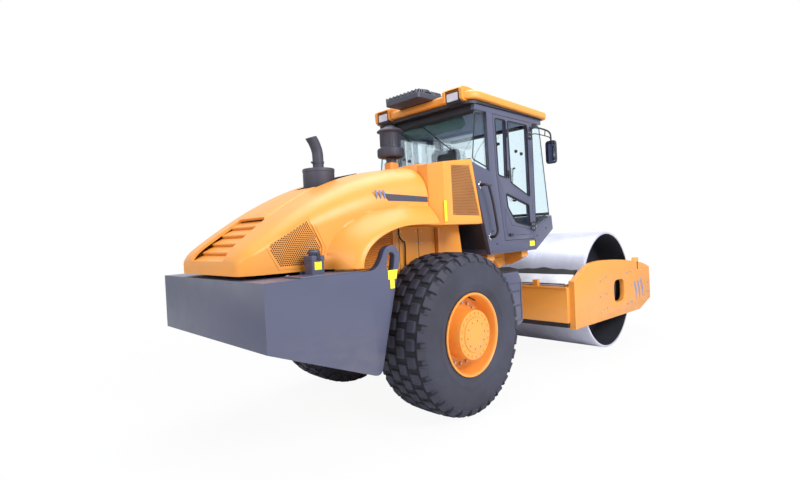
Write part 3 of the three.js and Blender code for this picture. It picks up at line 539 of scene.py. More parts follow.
def make_finish(name, kind=None, inputs=None, bump=0.0, **sockets):
    """Material on the Principled BSDF; kind names the shared group for its colour, roughness and bump."""
    made = bpy.data.materials.new(name)
    made.use_nodes = True
    tree = made.node_tree
    surface = tree.nodes["Principled BSDF"]
    for socket, value in sockets.items():
        surface.inputs[socket.replace("_", " ")].default_value = value
    if kind:
        group = tree.nodes.new("ShaderNodeGroup")
        group.node_tree = GROUPS.get(kind) or GROUPS.setdefault(kind, GROUP_MAKERS[kind]())
        place = tree.nodes.new("ShaderNodeTexCoord")
        tree.links.new(place.outputs["Object"], group.inputs["Vector"])
        for socket, value in (inputs or {}).items():
            group.inputs[socket].default_value = value
        tree.links.new(group.outputs["Color"], surface.inputs["Base Color"])
        if "Roughness" in group.outputs:
            tree.links.new(group.outputs["Roughness"], surface.inputs["Roughness"])
        if bump:
            relief = link_in(tree, "ShaderNodeBump", {"Height": group.outputs["Height"], "Strength": 1.0,
                "Distance": bump})
            tree.links.new(relief.outputs[0], surface.inputs["Normal"])
    return made


DUST = colour((0.62, 0.56, 0.50))


def paint(name, swatch, gloss=0.42, dust_share=0.25, dust_top=1.1):
    return make_finish(name, "lacquer", {"Paint": colour(swatch), "Dust": DUST, "Dust Share": dust_share,
                                         "Dust Top": dust_top, "Gloss": gloss}, 0.00012,
                       Coat_Weight=0.10, Coat_Roughness=0.2)


def moulding(name, base, light, grain=300.0, bump=0.0003, patch=4.0, **sockets):
    return make_finish(name, "grain", {"Base": colour(base), "Light": colour(light), "Grain Scale": grain,
                                       "Patch Scale": patch}, bump, **sockets)


FINISH_MAKERS = {
    "orange paint": lambda c: paint("Orange paint", c.orange),
    "grey paint": lambda c: paint("Grey paint", c.grey, 0.36),
    "dark grey paint": lambda c: paint("Dark grey paint", [v * 0.72 for v in c.grey], 0.42),
    "black plastic": lambda c: moulding("Black plastic", c.black, [v * 1.5 for v in c.black], Roughness=0.5),
    "rubber": lambda c: moulding("Tyre rubber", c.rubber, [v * 1.35 for v in c.rubber], 90.0, 0.0006, 3.0,
        Roughness=0.72),
    # Groove floor: the tyre rubber darkened to 0.6 to 0.8 of its colour, painted shade between the tread
    # blocks
    "groove rubber with painted shade": lambda c: moulding("Groove rubber, painted shade", [v * 0.60 for v in c.rubber],
        [v * 0.80 for v in c.rubber], 90.0, 0.0006,
                                     3.0, Roughness=0.85),
    "seal": lambda c: moulding("Rubber seal", (0.07, 0.07, 0.08), (0.11, 0.11, 0.12), 200.0, 0.0002,
        Roughness=0.7),
    "drum steel": lambda c: make_finish("Drum steel", "rolled", {
        "Bright": colour(c.drum), "Tarnish": colour([v * 0.86 for v in c.drum])}, 0.0001, Metallic=0.45),
    "drum inside": lambda c: moulding("Drum inside", (0.12, 0.13, 0.17), (0.17, 0.18, 0.22), 60.0, 0.0004,
        Roughness=0.65),
    "cast iron": lambda c: moulding("Cast iron", (0.20, 0.20, 0.24), (0.28, 0.28, 0.32), 160.0, 0.0008,
        Roughness=0.6, Metallic=0.3),
    "exhaust": lambda c: moulding("Heat-proof black", (0.19, 0.20, 0.26), (0.26, 0.26, 0.32), 240.0,
        0.0003, Roughness=0.55),
    "chrome": lambda c: moulding("Chromed rod", (0.86, 0.86, 0.88), (0.92, 0.92, 0.94), 500.0, 0.00002,
        Roughness=0.14, Metallic=1.0),
    "zinc": lambda c: moulding("Zinc-plated bolts", (0.66, 0.66, 0.70), (0.80, 0.80, 0.82), 400.0, 0.0001,
        Roughness=0.35, Metallic=0.7),
    "lining": lambda c: moulding("Cab lining", (0.60, 0.65, 0.74), (0.66, 0.70, 0.78), 500.0, 0.0004,
        Roughness=0.9),
    "hole": lambda c: moulding("Hole shadow", (0.20, 0.11, 0.05), (0.26, 0.15, 0.07), 200.0, 0.0,
        Roughness=0.9),
    "mesh brown": lambda c: moulding("Mesh backing", (0.62, 0.40, 0.20), (0.68, 0.45, 0.23), 400.0,
        0.0002, Roughness=0.7),
    "yellow label": lambda c: moulding("Yellow label", c.label, [min(1, v * 1.05) for v in c.label],
        300.0, 0.00005, Roughness=0.4),
    "blue mark": lambda c: moulding("Blue-grey mark", (0.42, 0.48, 0.66), (0.48, 0.54, 0.72), 300.0,
        0.00005, Roughness=0.4),
    "dark mark": lambda c: moulding("Dark stripe", (0.24, 0.24, 0.31), (0.27, 0.27, 0.34), 300.0, 0.00005,
        Roughness=0.4),
    "lens": lambda c: moulding("Lamp lens", (0.72, 0.74, 0.82), (0.90, 0.90, 0.95), 60.0, 0.0012,
        Roughness=0.12),
    "glass": lambda c: make_finish("Tinted glass", Base_Color=colour((0.86, 0.96, 1.0)), Roughness=0.02,
                                   Transmission_Weight=1.0, IOR=1.12, Alpha=0.45),
    "tint band": lambda c: make_finish("Sun band", Base_Color=colour((0.26, 0.36, 0.36)), Roughness=0.08,
                                       Transmission_Weight=0.35, IOR=1.4, Alpha=0.9),
    "mirror face": lambda c: moulding("Mirror face", (0.50, 0.52, 0.60), (0.54, 0.56, 0.64), 10.0, 0.0,
        Roughness=0.08, Metallic=1.0),
    "seat cloth": lambda c: make_finish("Seat cloth", "weave", {}, 0.0005, Roughness=0.9, Sheen_Weight=0.3),
}
FINISHES = {}


def finish(name):
    return FINISHES.get(name) or FINISHES.setdefault(name,
        FINISH_MAKERS[name](bpy.context.scene.roller_colours))


# ---------------------------------------------------------------- what a user may change
class RollerColours(bpy.types.PropertyGroup):
    """Display colours of the painted and moulded surfaces."""
    orange: FloatVectorProperty(name="Orange paint", description="Hood, roof, frames and rims",
        subtype="COLOR_GAMMA", size=3, min=0, max=1, default=(0.92, 0.605, 0.245))
    grey: FloatVectorProperty(name="Grey paint", description="Counterweight and cab shell",
        subtype="COLOR_GAMMA", size=3, min=0, max=1, default=(0.305, 0.320, 0.415))
    black: FloatVectorProperty(name="Black plastic", description="Handrails, mirrors and trim",
        subtype="COLOR_GAMMA", size=3, min=0, max=1, default=(0.12, 0.12, 0.15))
    rubber: FloatVectorProperty(name="Tyre rubber", description="Tyres", subtype="COLOR_GAMMA",
                                size=3, min=0, max=1, default=(0.165, 0.170, 0.220))
    drum: FloatVectorProperty(name="Drum steel", description="Rolling face of the drum",
        subtype="COLOR_GAMMA", size=3, min=0, max=1, default=(0.85, 0.865, 0.94))
    label: FloatVectorProperty(name="Label", description="Blank warning plates", subtype="COLOR_GAMMA",
                               size=3, min=0, max=1, default=(0.98, 0.90, 0.18))


class RollerDetails(bpy.types.PropertyGroup):
    """Sizes of the repeated and small parts."""
    soft_edge: FloatProperty(name="Plate edge", description="Rounding along the edges of thick plates",
        unit="LENGTH", min=0.0005, max=0.02, default=0.005)
    sheet_edge: FloatProperty(name="Sheet edge", description="Rounding along the edges of sheet panels",
        unit="LENGTH", min=0.0005, max=0.02, default=0.003)
    tread_rows: IntProperty(name="Tread rows", description="Tread blocks round a tyre", min=12, max=48,
        default=31)
    tread_depth: FloatProperty(name="Tread depth", description="Height of the tread blocks", unit="LENGTH",
                               min=0.005, max=0.04, default=0.020)
    hub_bolts: IntProperty(name="Hub bolts", description="Bolts round a wheel hub", min=6, max=40, default=20)
    mesh_pitch: FloatProperty(name="Mesh pitch",
        description="Distance between the holes of a perforated panel", unit="LENGTH", min=0.01, max=0.05,
        default=0.017)
    louvre_slats: IntProperty(name="Louvre slats", description="Slats in the hood's rear opening", min=3,
        max=9, default=5)


class RollerStage(bpy.types.PropertyGroup):
    """Camera and lamps."""
    eye: FloatVectorProperty(name="Camera", description="Where the camera stands", subtype="XYZ",
        unit="LENGTH", size=3, default=(-4.834, -3.805, 1.734))
    lens: FloatProperty(name="Lens", description="Focal length of the camera in millimetres", min=8,
        max=200, default=21.51)
    key_power: FloatProperty(name="Key lamp", description="Power of the large lamp in watts", min=0,
        max=20000, default=950)
    sky: FloatProperty(name="Sky", description="Strength of the even light", min=0, max=3, default=0.40)


# ---------------------------------------------------------------- wheels
TYRE_Y = abs(middle("tyre_right").y)
# half of the tyre's outline from the crown to the bead: distance from its middle plane, radius
TYRE_OUTLINE = [(0, 0.742), (0.10, 0.7405), (0.18, 0.736), (0.225, 0.728), (0.255, 0.712), (0.274, 0.690),
    (0.285, 0.660), (0.290, 0.620), (0.2905, 0.575), (0.286, 0.520), (0.281, 0.480), (0.284, 0.470),
    (0.282, 0.458), (0.272, 0.440), (0.258, 0.405), (0.247, 0.384), (0.240, 0.372)]
TREAD_COLUMNS = [0.056, 0.168, 0.272]  # along the outline from the crown
DONE = {"FINISHED"}


def along_outline(distance):
    """Point of the tyre's outline and the way out of it, at a distance from the crown."""
    reach = 0.0
    for (s0, r0), (s1, r1) in zip(TYRE_OUTLINE, TYRE_OUTLINE[1:]):
        step = math.hypot(s1 - s0, r1 - r0)
        if reach + step >= distance:
            part = (distance - reach) / step
            return (s0 + (s1 - s0) * part, r0 + (r1 - r0) * part), ((r0 - r1) / step, (s1 - s0) / step)
        reach += step
    raise ValueError("the tread column lies beyond the tyre's outline")


def tread_row(side, rows, depth):
    """One row of tread blocks: squares with round corners, staggered from column to column."""
    row = Shape()
    pitch = 2 * math.pi / rows
    for hand in (-1, 1):
        for column, centre in enumerate(TREAD_COLUMNS):
            turn = pitch * (0.5 if (column + (hand > 0)) % 2 else 0.0)
            length = 0.68 * pitch
            rings = []
            for rise, shrink in ((-0.006, 0.0), (depth * 0.75, 0.002), (depth, 0.009)):
                ring = []
                for a, c in rounded([(-0.044, -0.5), (0.044, -0.5), (0.044, 0.5), (-0.044, 0.5)], 0.034, 5):
                    (s, r), (out_s, out_r) = along_outline(max(0.0, centre + a * (1 - shrink / 0.044)))
                    s, r = min(0.2915, s + out_s * rise), r + out_r * rise
                    angle = turn + c * length * (1 - shrink / 0.05)
                    ring.append((r * math.sin(angle), side * TYRE_Y + hand * s,
                        WHEEL_Z + r * math.cos(angle)))
                rings.append(ring)
            row.add(swept(rings))
    return row


class ROLLER_OT_tyres(bpy.types.Operator):
    """Tyre bodies with their staggered tread blocks"""
    bl_idname = "roller.tyres"
    bl_label = "Tyres"

    def execute(self, context):
        details = context.scene.roller_details
        for word, side in SIDES.items():
            outline = [*TYRE_OUTLINE, *[(-s, r) for s, r in reversed(TYRE_OUTLINE[1:])]]
            body = Shape().add(lathe([(r, s) for s, r in outline], (0, side * TYRE_Y, WHEEL_Z), "Y", 112))
            wheel = f"rear_wheel_{word}"
            piece(f"tyre_body_{word}", body, finish("rubber"), wheel,
                stands_for=[f"tyre_{word}"])
            # Floor of the grooves between the tread blocks, in rubber darkened as painted shade
            crown = [(r + 0.0006, s) for s, r in outline if abs(s) < 0.27 and r > 0.6]
            crown = sorted(crown, key=lambda p: p[1])
            base = Shape().add(lathe([*crown, *[(r - 0.004, s) for r, s in reversed(crown)]],
                (0, side * TYRE_Y, WHEEL_Z), "Y", 112))
            piece(f"tyre_grooves_{word}", base, finish("groove rubber with painted shade"), wheel)
            row = tread_row(side, details.tread_rows, details.tread_depth).mesh("tread row")
            tread = grow("turned", row, finish("rubber"), {
                "Count": details.tread_rows, "Centre": (AXLE_X, side * TYRE_Y, WHEEL_Z), "Axis": (0, 1, 0)})
            piece(f"tyre_tread_{word}", tread, finish("rubber"), wheel)
        return DONE


# radius and distance outwards from the tyre's middle plane
RIM_OUTLINE = [(0.0, -0.145), (0.17, -0.145), (0.17, 0.07), (0.33, 0.07), (0.34, -0.258), (0.384, -0.258),
               (0.384, -0.24), (0.3715, -0.24), (0.3715, 0.24), (0.375, 0.247), (0.383, 0.251),
                   (0.3865, 0.258),
               (0.383, 0.266), (0.372, 0.268), (0.363, 0.262), (0.357, 0.245), (0.350, 0.200), (0.343, 0.160),
               (0.337, 0.125), (0.325, 0.108), (0.300, 0.102), (0.245, 0.100), (0.233, 0.104), (0.229, 0.115),
               (0.229, 0.270), (0.226, 0.278), (0.219, 0.2815), (0.166, 0.2815), (0.162, 0.279),
                   (0.160, 0.286),
               (0.154, 0.290), (0.060, 0.291), (0.0, 0.291)]


def circle_points(count, radius, x, y, z, turn=0.0):
    return [(x + radius * math.sin(turn + 2 * math.pi * i / count), y,
        z + radius * math.cos(turn + 2 * math.pi * i / count)) for i in range(count)]


class ROLLER_OT_rims(bpy.types.Operator):
    """Dished rims with their bolted planetary hubs"""
    bl_idname = "roller.rims"
    bl_label = "Rims and hubs"

    def execute(self, context):
        count = context.scene.roller_details.hub_bolts
        for word, side in SIDES.items():
            wheel = f"rear_wheel_{word}"
            profile = [(r, side * s) for r, s in RIM_OUTLINE]
            rim = Shape().add(lathe(profile, (0, side * TYRE_Y, WHEEL_Z), "Y", 96))
            piece(f"rim_body_{word}", rim, finish("orange paint"), wheel, angle=40,
                stands_for=[f"rim_{word}"])
            out = (0, side, 0)
            face = side * (TYRE_Y + 0.281)
            points = circle_points(count, 0.200, 0, face, WHEEL_Z)
            bolts = stud_mesh(points, [out] * count, finish("orange paint"), 6, 0.0105, 0.0085)
            piece(f"hub_bolts_{word}", bolts, finish("orange paint"), wheel)
            ring = circle_points(10, 0.128, 0, side * (TYRE_Y + 0.2895), WHEEL_Z, 0.2)
            plugs = stud_mesh(ring, [out] * 10, finish("dark mark"), 6, 0.007, 0.003)
            piece(f"hub_plugs_{word}", plugs, finish("dark mark"), wheel)
            nuts = stud_mesh(circle_points(count, 0.285, 0, side * (TYRE_Y + 0.101), WHEEL_Z, 0.1),
                [out] * count, finish("zinc"), 6, 0.014, 0.022)
            piece(f"wheel_nuts_{word}", nuts, finish("zinc"), wheel)
            valve = rod((0.10, side * (TYRE_Y + 0.14), WHEEL_Z + 0.325), (0.10, side * (TYRE_Y + 0.22),
                WHEEL_Z + 0.300), 0.007, 10)
            piece(f"valve_{word}", Shape().add(valve), finish("black plastic"), wheel)
        return DONE


# ---------------------------------------------------------------- hood
SEAM = -0.220
HOOD_REAR = -1.965
HOOD_LOW = 1.470
FLARE = 0.955
LIP = (0.640, 0.332)
CREST = (0.800, 0.498)
ARCH_X = -0.500
LOUVRE = [(-1.953, 0.318, 1.565), (-1.546, 0.243, 1.903)]  # lower and upper corner of the rear opening
GRILLE = [(-1.415, 1.881), (-1.308, 1.646), (-1.335, 1.505), (-1.663, 1.513), (-1.752, 1.679)]
SLOT = ((-1.046, -0.500), 0.172)


def smooth(value):
    value = min(1.0, max(0.0, value))
    return value * value * (3 - 2 * value)


def hood_crown(x):
    back = SEAM - x
    tail = max(0.0, (HOOD_REAR + 0.09 - x) / 0.09)
    return 2.375 - 0.0903 * back - 0.195 * back * back - 0.045 * (1 - math.sqrt(max(0.0, 1 - tail * tail)))


def hood_half(x):
    nose = max(0.0, (HOOD_REAR + 0.13 - x) / 0.13)
    return 0.832 - 0.152 * (SEAM - x) - 0.09 * (1 - math.sqrt(max(0.0, 1 - nose * nose)))


def hood_side(x, z):
    """Distance of the hood's side from the middle, with the flare over the wheel."""
    half = hood_half(x)
    back, rise = min(0.0, x - ARCH_X), z - HOOD_LOW
    lip = math.hypot(back / LIP[0], rise / LIP[1])
    crest = math.hypot(back / CREST[0], rise / CREST[1])
    if crest >= 1:
        return half
    part = 0.0 if lip <= 1 else (lip - 1) / ((lip - 1) + (1 - crest))
    return half + (FLARE - half) * math.cos(math.pi * part / 2) ** 0.75


def hood_half_section(x):
    """Points from the lower edge to the crown: distance from the middle, height."""
    half, tall = hood_half(x), hood_crown(x) - HOOD_LOW
    made = []
    for i in range(44):
        z = HOOD_LOW + 0.62 * tall * i / 44
        made.append((hood_side(x, z), z))
    for i in range(16):
        t = i / 16
        u = (1 - t) ** 2 + 1.97 * t * (1 - t) + 0.62 * t * t
        v = 0.62 * (1 - t) ** 2 + 1.88 * t * (1 - t) + 0.98 * t * t
        made.append((u * half, HOOD_LOW + v * tall))
    guide = 0.245 - 0.12 * (x + 1.546)
    strength = smooth((x + 1.62) / 0.06) * smooth((-0.98 - x) / 0.05)
    for i in range(25):
        u = 0.62 * (1 - i / 24)
        rise = 0.012 * strength * smooth((guide - u * half) / 0.016)
        made.append((u * half, HOOD_LOW + (0.98 + 0.02 * (1 - (u / 0.62) ** 2)) * tall + rise))
    return made


def on_hood_side(solid, side):
    """Moves a solid whose second coordinate is the distance off the hood's side onto that side."""
    points, faces = solid
    return [(x, side * (hood_side(x, z) + off), z) for x, off, z in points], faces


def fine_outline(outline, step=0.03):
    made = []
    for a, b in zip(outline, [*outline[1:], outline[0]]):
        parts = max(1, int(math.dist(a, b) / step))
        made += [(a[0] + (b[0] - a[0]) * i / parts, a[1] + (b[1] - a[1]) * i / parts) for i in range(parts)]
    return made


def opening_prism(grow=0.0, low=-0.14, high=0.16):
    """Block through the rear opening: low and high are measured square to its plane."""
    (x0, y0, z0), (x1, y1, z1) = LOUVRE
    run = Vector((x1 - x0, 0, z1 - z0)).normalized()
    out = Vector((-run.z, 0, run.x))
    flat = [(-y0 - grow, 0), (y0 + grow, 0), (y1 + grow, 1), (-y1 - grow, 1)]
    corners = rounded([(u, v * math.dist((x0, z0), (x1, z1))) for u, v in flat], 0.045, 5)
    start = Vector((x0, 0, z0))
    return swept([[start + run * v + Vector((0, u, 0)) + out * off for u, v in corners] for off in (low,
        high)])


def with_cutters(mesh, operation, *shapes):
    """Boolean of a mesh with gathered shapes."""
    thing = put("shell", mesh)
    cutters = []
    for shape in shapes:
        tool = put("cutter", shape.mesh("cutter"))
        cut = thing.modifiers.new("Cut", "BOOLEAN")
        cut.operation = operation
        cut.solver = "EXACT"
        cut.object = tool
        cutters.append(tool)
    made = evaluated_mesh(thing)
    for tool in cutters:
        bpy.data.objects.remove(tool)
    return made


def hood_shell():
    stations = [HOOD_REAR + (SEAM - HOOD_REAR) * (i / 84) ** 1.5 for i in range(85)]
    rings = []
    for x in stations:
        half = hood_half_section(x)
        rings.append([(x + AXLE_X, -y, z) for y, z in half] + [(x + AXLE_X, y, z) for y,
            z in reversed(half[:-1])])
    count = len(rings[0])
    faces = [[a * count + i, a * count + i + 1, (a + 1) * count + i + 1, (a + 1) * count + i]
             for a in range(len(rings) - 1) for i in range(count - 1)]
    faces.append(list(range(count)))
    mesh = bpy.data.meshes.new("hood shell")
    mesh.from_pydata([p for ring in rings for p in ring], [], faces)
    bm = bmesh.new()
    bm.from_mesh(mesh)
    bmesh.ops.recalc_face_normals(bm, faces=bm.faces)
    crown = max(bm.faces, key=lambda f: f.calc_center_median().z)
    if crown.normal.z < 0:
        bmesh.ops.reverse_faces(bm, faces=bm.faces)
    bm.to_mesh(mesh)
    bm.free()
    thing = put("hood shell", mesh)
    wall = thing.modifiers.new("Wall", "SOLIDIFY")
    wall.thickness = 0.024
    wall.offset = -1
    return evaluated_mesh(thing)


def arch_outline(length, height, front):
    made = [(ARCH_X - length, HOOD_LOW - 0.06)]
    made += [(ARCH_X - length * math.cos(math.pi * i / 80),
        HOOD_LOW + height * math.sin(math.pi * i / 80)) for i in range(41)]
    return [*made, (front, HOOD_LOW + height), (front, HOOD_LOW - 0.06)]


class ROLLER_OT_hood(bpy.types.Operator):
    """Tilting hood: shell with flares, openings, side grilles and blank stripe"""
    bl_idname = "roller.hood"
    bl_label = "Hood"

    def execute(self, context):
        details = context.scene.roller_details
        orange = finish("orange paint")
        cuts = Shape().add(prism(arch_outline(*LIP, SEAM + 0.03), "Y", -1.3, 1.3))
        slot_x, slot_y = SLOT
        cuts_top = Shape().add(prism(rounded([(slot_x[0], -slot_y), (slot_x[1], -slot_y),
            (slot_x[1], slot_y), (slot_x[0], slot_y)], 0.05, 5), "Z", 1.95, 2.6))
        cuts_top.add(opening_prism())
        for side in SIDES.values():
            cuts_top.add(on_hood_side(prism(fine_outline(rounded(GRILLE, 0.03, 3)), "Y", -0.06, 0.06), side))
            groove = frame_strip(inset(GRILLE, -0.022), 0.005, "Y", -0.004, 0.03)
            cuts_top.add(on_hood_side(groove, side))
        shell = with_cutters(hood_shell(), "DIFFERENCE", cuts, cuts_top)
        piece("hood_shell", shell, orange, "hood_lid", angle=32, stands_for=["hood"])
        self.side_grilles(details)
        self.rear_louvres(details)
        trim, marks, leaves = Shape(), Shape(), Shape()
        for side in SIDES.values():
            path = [(x, side * (FLARE - 0.006), z) for x, z in arch_outline(*LIP, SEAM - 0.004)[1:-1]]
            trim.add(pipe(path, 0.009, 10, 1))
            stripe = [(-0.700, 2.078), (-0.662, 2.016), (-0.226, 2.003), (-0.226, 2.052)]
            marks.add(on_hood_side(prism(fine_outline(stripe), "Y", -0.004, 0.0008), side))
            for shift in (0.0, 0.040, 0.080):
                leaf = [(-0.800 + shift, 2.108), (-0.784 + shift, 2.109), (-0.764 + shift, 2.066),
                    (-0.776 + shift, 2.030), (-0.786 + shift, 2.066)]
                leaves.add(on_hood_side(prism(leaf, "Y", -0.004, 0.0008), side))
        piece("arch_lips", trim, orange, "hood_lid")
        piece("hood_stripes", marks, finish("dark mark"), "hood_lid")
        piece("hood_leaves", leaves, finish("blue mark"), "hood_lid")
        rim = frame_strip(rounded([(slot_x[0] - 0.004, -slot_y - 0.004), (slot_x[1] + 0.004,
            -slot_y - 0.004), (slot_x[1] + 0.004, slot_y + 0.004), (slot_x[0] - 0.004, slot_y + 0.004)],
            0.05, 5), 0.010, "Z", 0, 1)
        points = [(x, y, hood_crown(x) - 0.03 + 0.034 * t) for x, y, t in rim[0]]
        piece("slot_seal", Shape().add((points, rim[1])), finish("seal"), "hood_lid")
        return DONE

    def side_grilles(self, details):
        plates, points, facings = Shape(), [], []
        for side in SIDES.values():
            plates.add(on_hood_side(prism(fine_outline(inset(GRILLE, -0.012)), "Y", -0.020, -0.014), side))
            facing = Vector((-0.152, side, 0)).normalized()
            for x, z in hex_points(inset(GRILLE, 0.012), details.mesh_pitch):
                points.append((x, side * (hood_half(x) - 0.0142), z))
                facings.append(facing)
        piece("grille_plates", plates, finish("orange paint"), "hood_lid")
        holes = stud_mesh(points, facings, finish("hole"), 6, details.mesh_pitch * 0.39, 0.0008)
        piece("grille_holes", holes, finish("hole"), "hood_lid")

    def rear_louvres(self, details):
        (x0, y0, z0), (x1, y1, z1) = LOUVRE
        count = details.louvre_slats
        start, run = Vector((x0, 0, z0)), Vector((x1 - x0, 0, z1 - z0))
        length = run.length
        run.normalize()
        out = Vector((-run.z, 0, run.x))
        slats = Shape()
        for i in range(count):
            low, high = length * i / count, length * (i + 1) / count
            loop = [(low + 0.004, 0.000), (low + 0.012, 0.006), (high - 0.010, -0.014),
                (high + 0.006, -0.024), (high - 0.004, -0.026), (low + 0.014, -0.008),
                (low + 0.013, -0.034), (low + 0.004, -0.034)]
            rings = []
            for hand in (-1, 1):
                rings.append([start + run * v + out * off + Vector((0,
                    hand * (y0 + (y1 - y0) * v / length + 0.006), 0)) for v, off in loop])
            slats.add(swept(rings))
        piece("rear_louvres", slats, finish("orange paint"), "hood_lid", 0.0015, angle=25)
        back = Shape().add(opening_prism(0.016, -0.076, -0.070))
        piece("louvre_backing", back, finish("mesh brown"), "hood_lid")
        points = []
        for u, v in hex_points([(-y0, -0.02), (y0, -0.02), (y0, 0.09), (-y0, 0.09)],
                details.mesh_pitch * 0.9):
            points.append(start + run * (v + 0.012) + out * -0.0695 + Vector((0, u, 0)))
        holes = stud_mesh(points, [out] * len(points), finish("hole"), 6, details.mesh_pitch * 0.3, 0.0008)
        piece("louvre_holes", holes, finish("hole"), "hood_lid")


# ---------------------------------------------------------------- counterweight and filler
class ROLLER_OT_counterweight(bpy.types.Operator):
    """Counterweight with lifting eyes, rim plates and blank plates"""
    bl_idname = "roller.counterweight"
    bl_label = "Counterweight"

    def execute(self, context):
        details = context.scene.roller_details
        grey = finish("grey paint")
        piece("counterweight_body", copied("counterweight"), grey, "rear_frame",
            details.soft_edge + 0.002, stands_for=["counterweight"], segments=3)
        lips, labels, seams = Shape(), Shape(), Shape()
        for side in SIDES.values():
            ys = sorted((side * 0.70, side * 0.926))
            lips.add(block((-1.69, -1.15), ys, (1.436, 1.452)))
            face = sorted((side * 0.9302, side * 0.9312))
            labels.add(prism([(-0.862, 1.352), (-0.772, 1.352), (-0.752, 1.428), (-0.862, 1.428)], "Y",
                *face))
            labels.add(prism([(-0.842, 1.275), (-0.794, 1.275), (-0.794, 1.350), (-0.842, 1.350)], "Y",
                *face))
            seams.add(block((-1.978, -1.12), sorted((side * 0.600, side * 0.606)), (1.4385, 1.4415)))
        piece("counterweight_lips", lips, grey, "rear_frame", 0.004)
        piece("eye_labels", labels, finish("yellow label"), "rear_frame")
        bolts = [(x, y, 1.4405) for y in (-0.60, 0.60) for x in (-1.60, -1.35)]
        mesh = stud_mesh(bolts, [(0, 0, 1)] * len(bolts), finish("zinc"), 6, 0.013, 0.010)
        piece("counterweight_bolts", mesh, finish("zinc"), "rear_frame")
        return DONE


class ROLLER_OT_filler(bpy.types.Operator):
    """Fuel filler with its locking cap"""
    bl_idname = "roller.filler"
    bl_label = "Fuel filler"

    def execute(self, context):
        neck = Shape()
        for half, low, high in ((0.056, 1.4405, 1.560), (0.0595, 1.555, 1.590)):
            corners = rounded([(-1.460 - half, -0.760 - half), (-1.460 + half, -0.760 - half),
                               (-1.460 + half, -0.760 + half), (-1.460 - half, -0.760 + half)], 0.012, 4)
            neck.add(prism(corners, "Z", low, high))
        piece("filler_neck", neck, finish("grey paint"), "rear_frame", 0.003,
            stands_for=["fuel_filler"])
        cap = [(0.0, 1.585), (0.042, 1.585), (0.042, 1.603), (0.050, 1.606), (0.050, 1.622),
            (0.046, 1.626), (0.036, 1.627), (0.034, 1.638), (0.028, 1.640), (0.0, 1.640)]
        piece("filler_cap", Shape().add(lathe(cap, (-1.460, -0.760, 0), "Z", 36)),
            finish("dark grey paint"), "rear_frame", angle=40)
        label = block((-1.496, -1.432), (-0.8170, -0.8155), (1.485, 1.545))
        piece("filler_label", Shape().add(label), finish("yellow label"), "rear_frame")
        hasp = Shape().add(block((-1.475, -1.445), (-0.826, -0.815), (1.560, 1.605)))
        hasp.add(pipe([(-1.470, -0.824, 1.570), (-1.470, -0.834, 1.555), (-1.450, -0.834, 1.555),
            (-1.450, -0.824, 1.570)], 0.003, 8))
        piece("filler_hasp", hasp, finish("black plastic"), "rear_frame", 0.001)
        return DONE


# ---------------------------------------------------------------- exhaust, pre-cleaner and engine bay
STACK = -0.843


class ROLLER_OT_exhaust(bpy.types.Operator):
    """Silencer can and its bent tail pipe with a slanted mouth"""
    bl_idname = "roller.exhaust"
    bl_label = "Exhaust"

    def execute(self, context):
        black = finish("exhaust")
        can = [(0.0, 1.905), (0.146, 1.905), (0.150, 1.912), (0.150, 2.345), (0.153, 2.348),
            (0.153, 2.370), (0.150, 2.376), (0.118, 2.380), (0.060, 2.381), (0.0, 2.381)]
        body = Shape().add(lathe(can, (STACK, 0, 0), "Z", 64))
        body.add(lathe([(0.054, 2.379), (0.066, 2.379), (0.066, 2.386), (0.058, 2.390), (0.054, 2.390)],
            (STACK, 0, 0), "Z", 40))
        piece("silencer", body, black, "rear_frame", angle=38, stands_for=["exhaust_stack"])
        path = smooth_path([(STACK, 0, 2.375), (STACK, 0, 2.470), (STACK - 0.006, 0, 2.550),
            (STACK - 0.036, 0, 2.625), (STACK - 0.070, 0, 2.676)], 7)
        outer, inner = [], []
        for i, point in enumerate(path):
            run = (path[min(i + 1, len(path) - 1)] - path[max(i - 1, 0)]).normalized()
            other = run.cross(Vector((0, 1, 0)))
            last = max(0.0, (i - len(path) + 5) / 4)
            for rings, radius in ((outer, 0.0525), (inner, 0.0475)):
                turns = [2 * math.pi * k / 28 for k in range(28)]
                rings.append([point + (Vector((0, 1, 0)) * math.cos(t) + other * math.sin(t)) * radius
                              + run * (0.30 * last * radius * math.sin(t)) for t in turns])
        piece("tail_pipe", Shape().add(swept([*outer, *inner[:8:-1]])), black, "rear_frame",
            angle=40)
        clamp = Shape().add(lathe([(0.0530, 2.430), (0.0575, 2.430), (0.0575, 2.448), (0.0530, 2.448)],
            (STACK, 0, 0), "Z", 40))
        clamp.add(block((STACK - 0.078, STACK - 0.055), (-0.006, 0.006), (2.431, 2.447)))
        clamp.add(rod((STACK - 0.068, -0.020, 2.439), (STACK - 0.068, 0.020, 2.439), 0.004, 8))
        piece("pipe_clamp", clamp, black, "rear_frame", 0.0008)
        return DONE


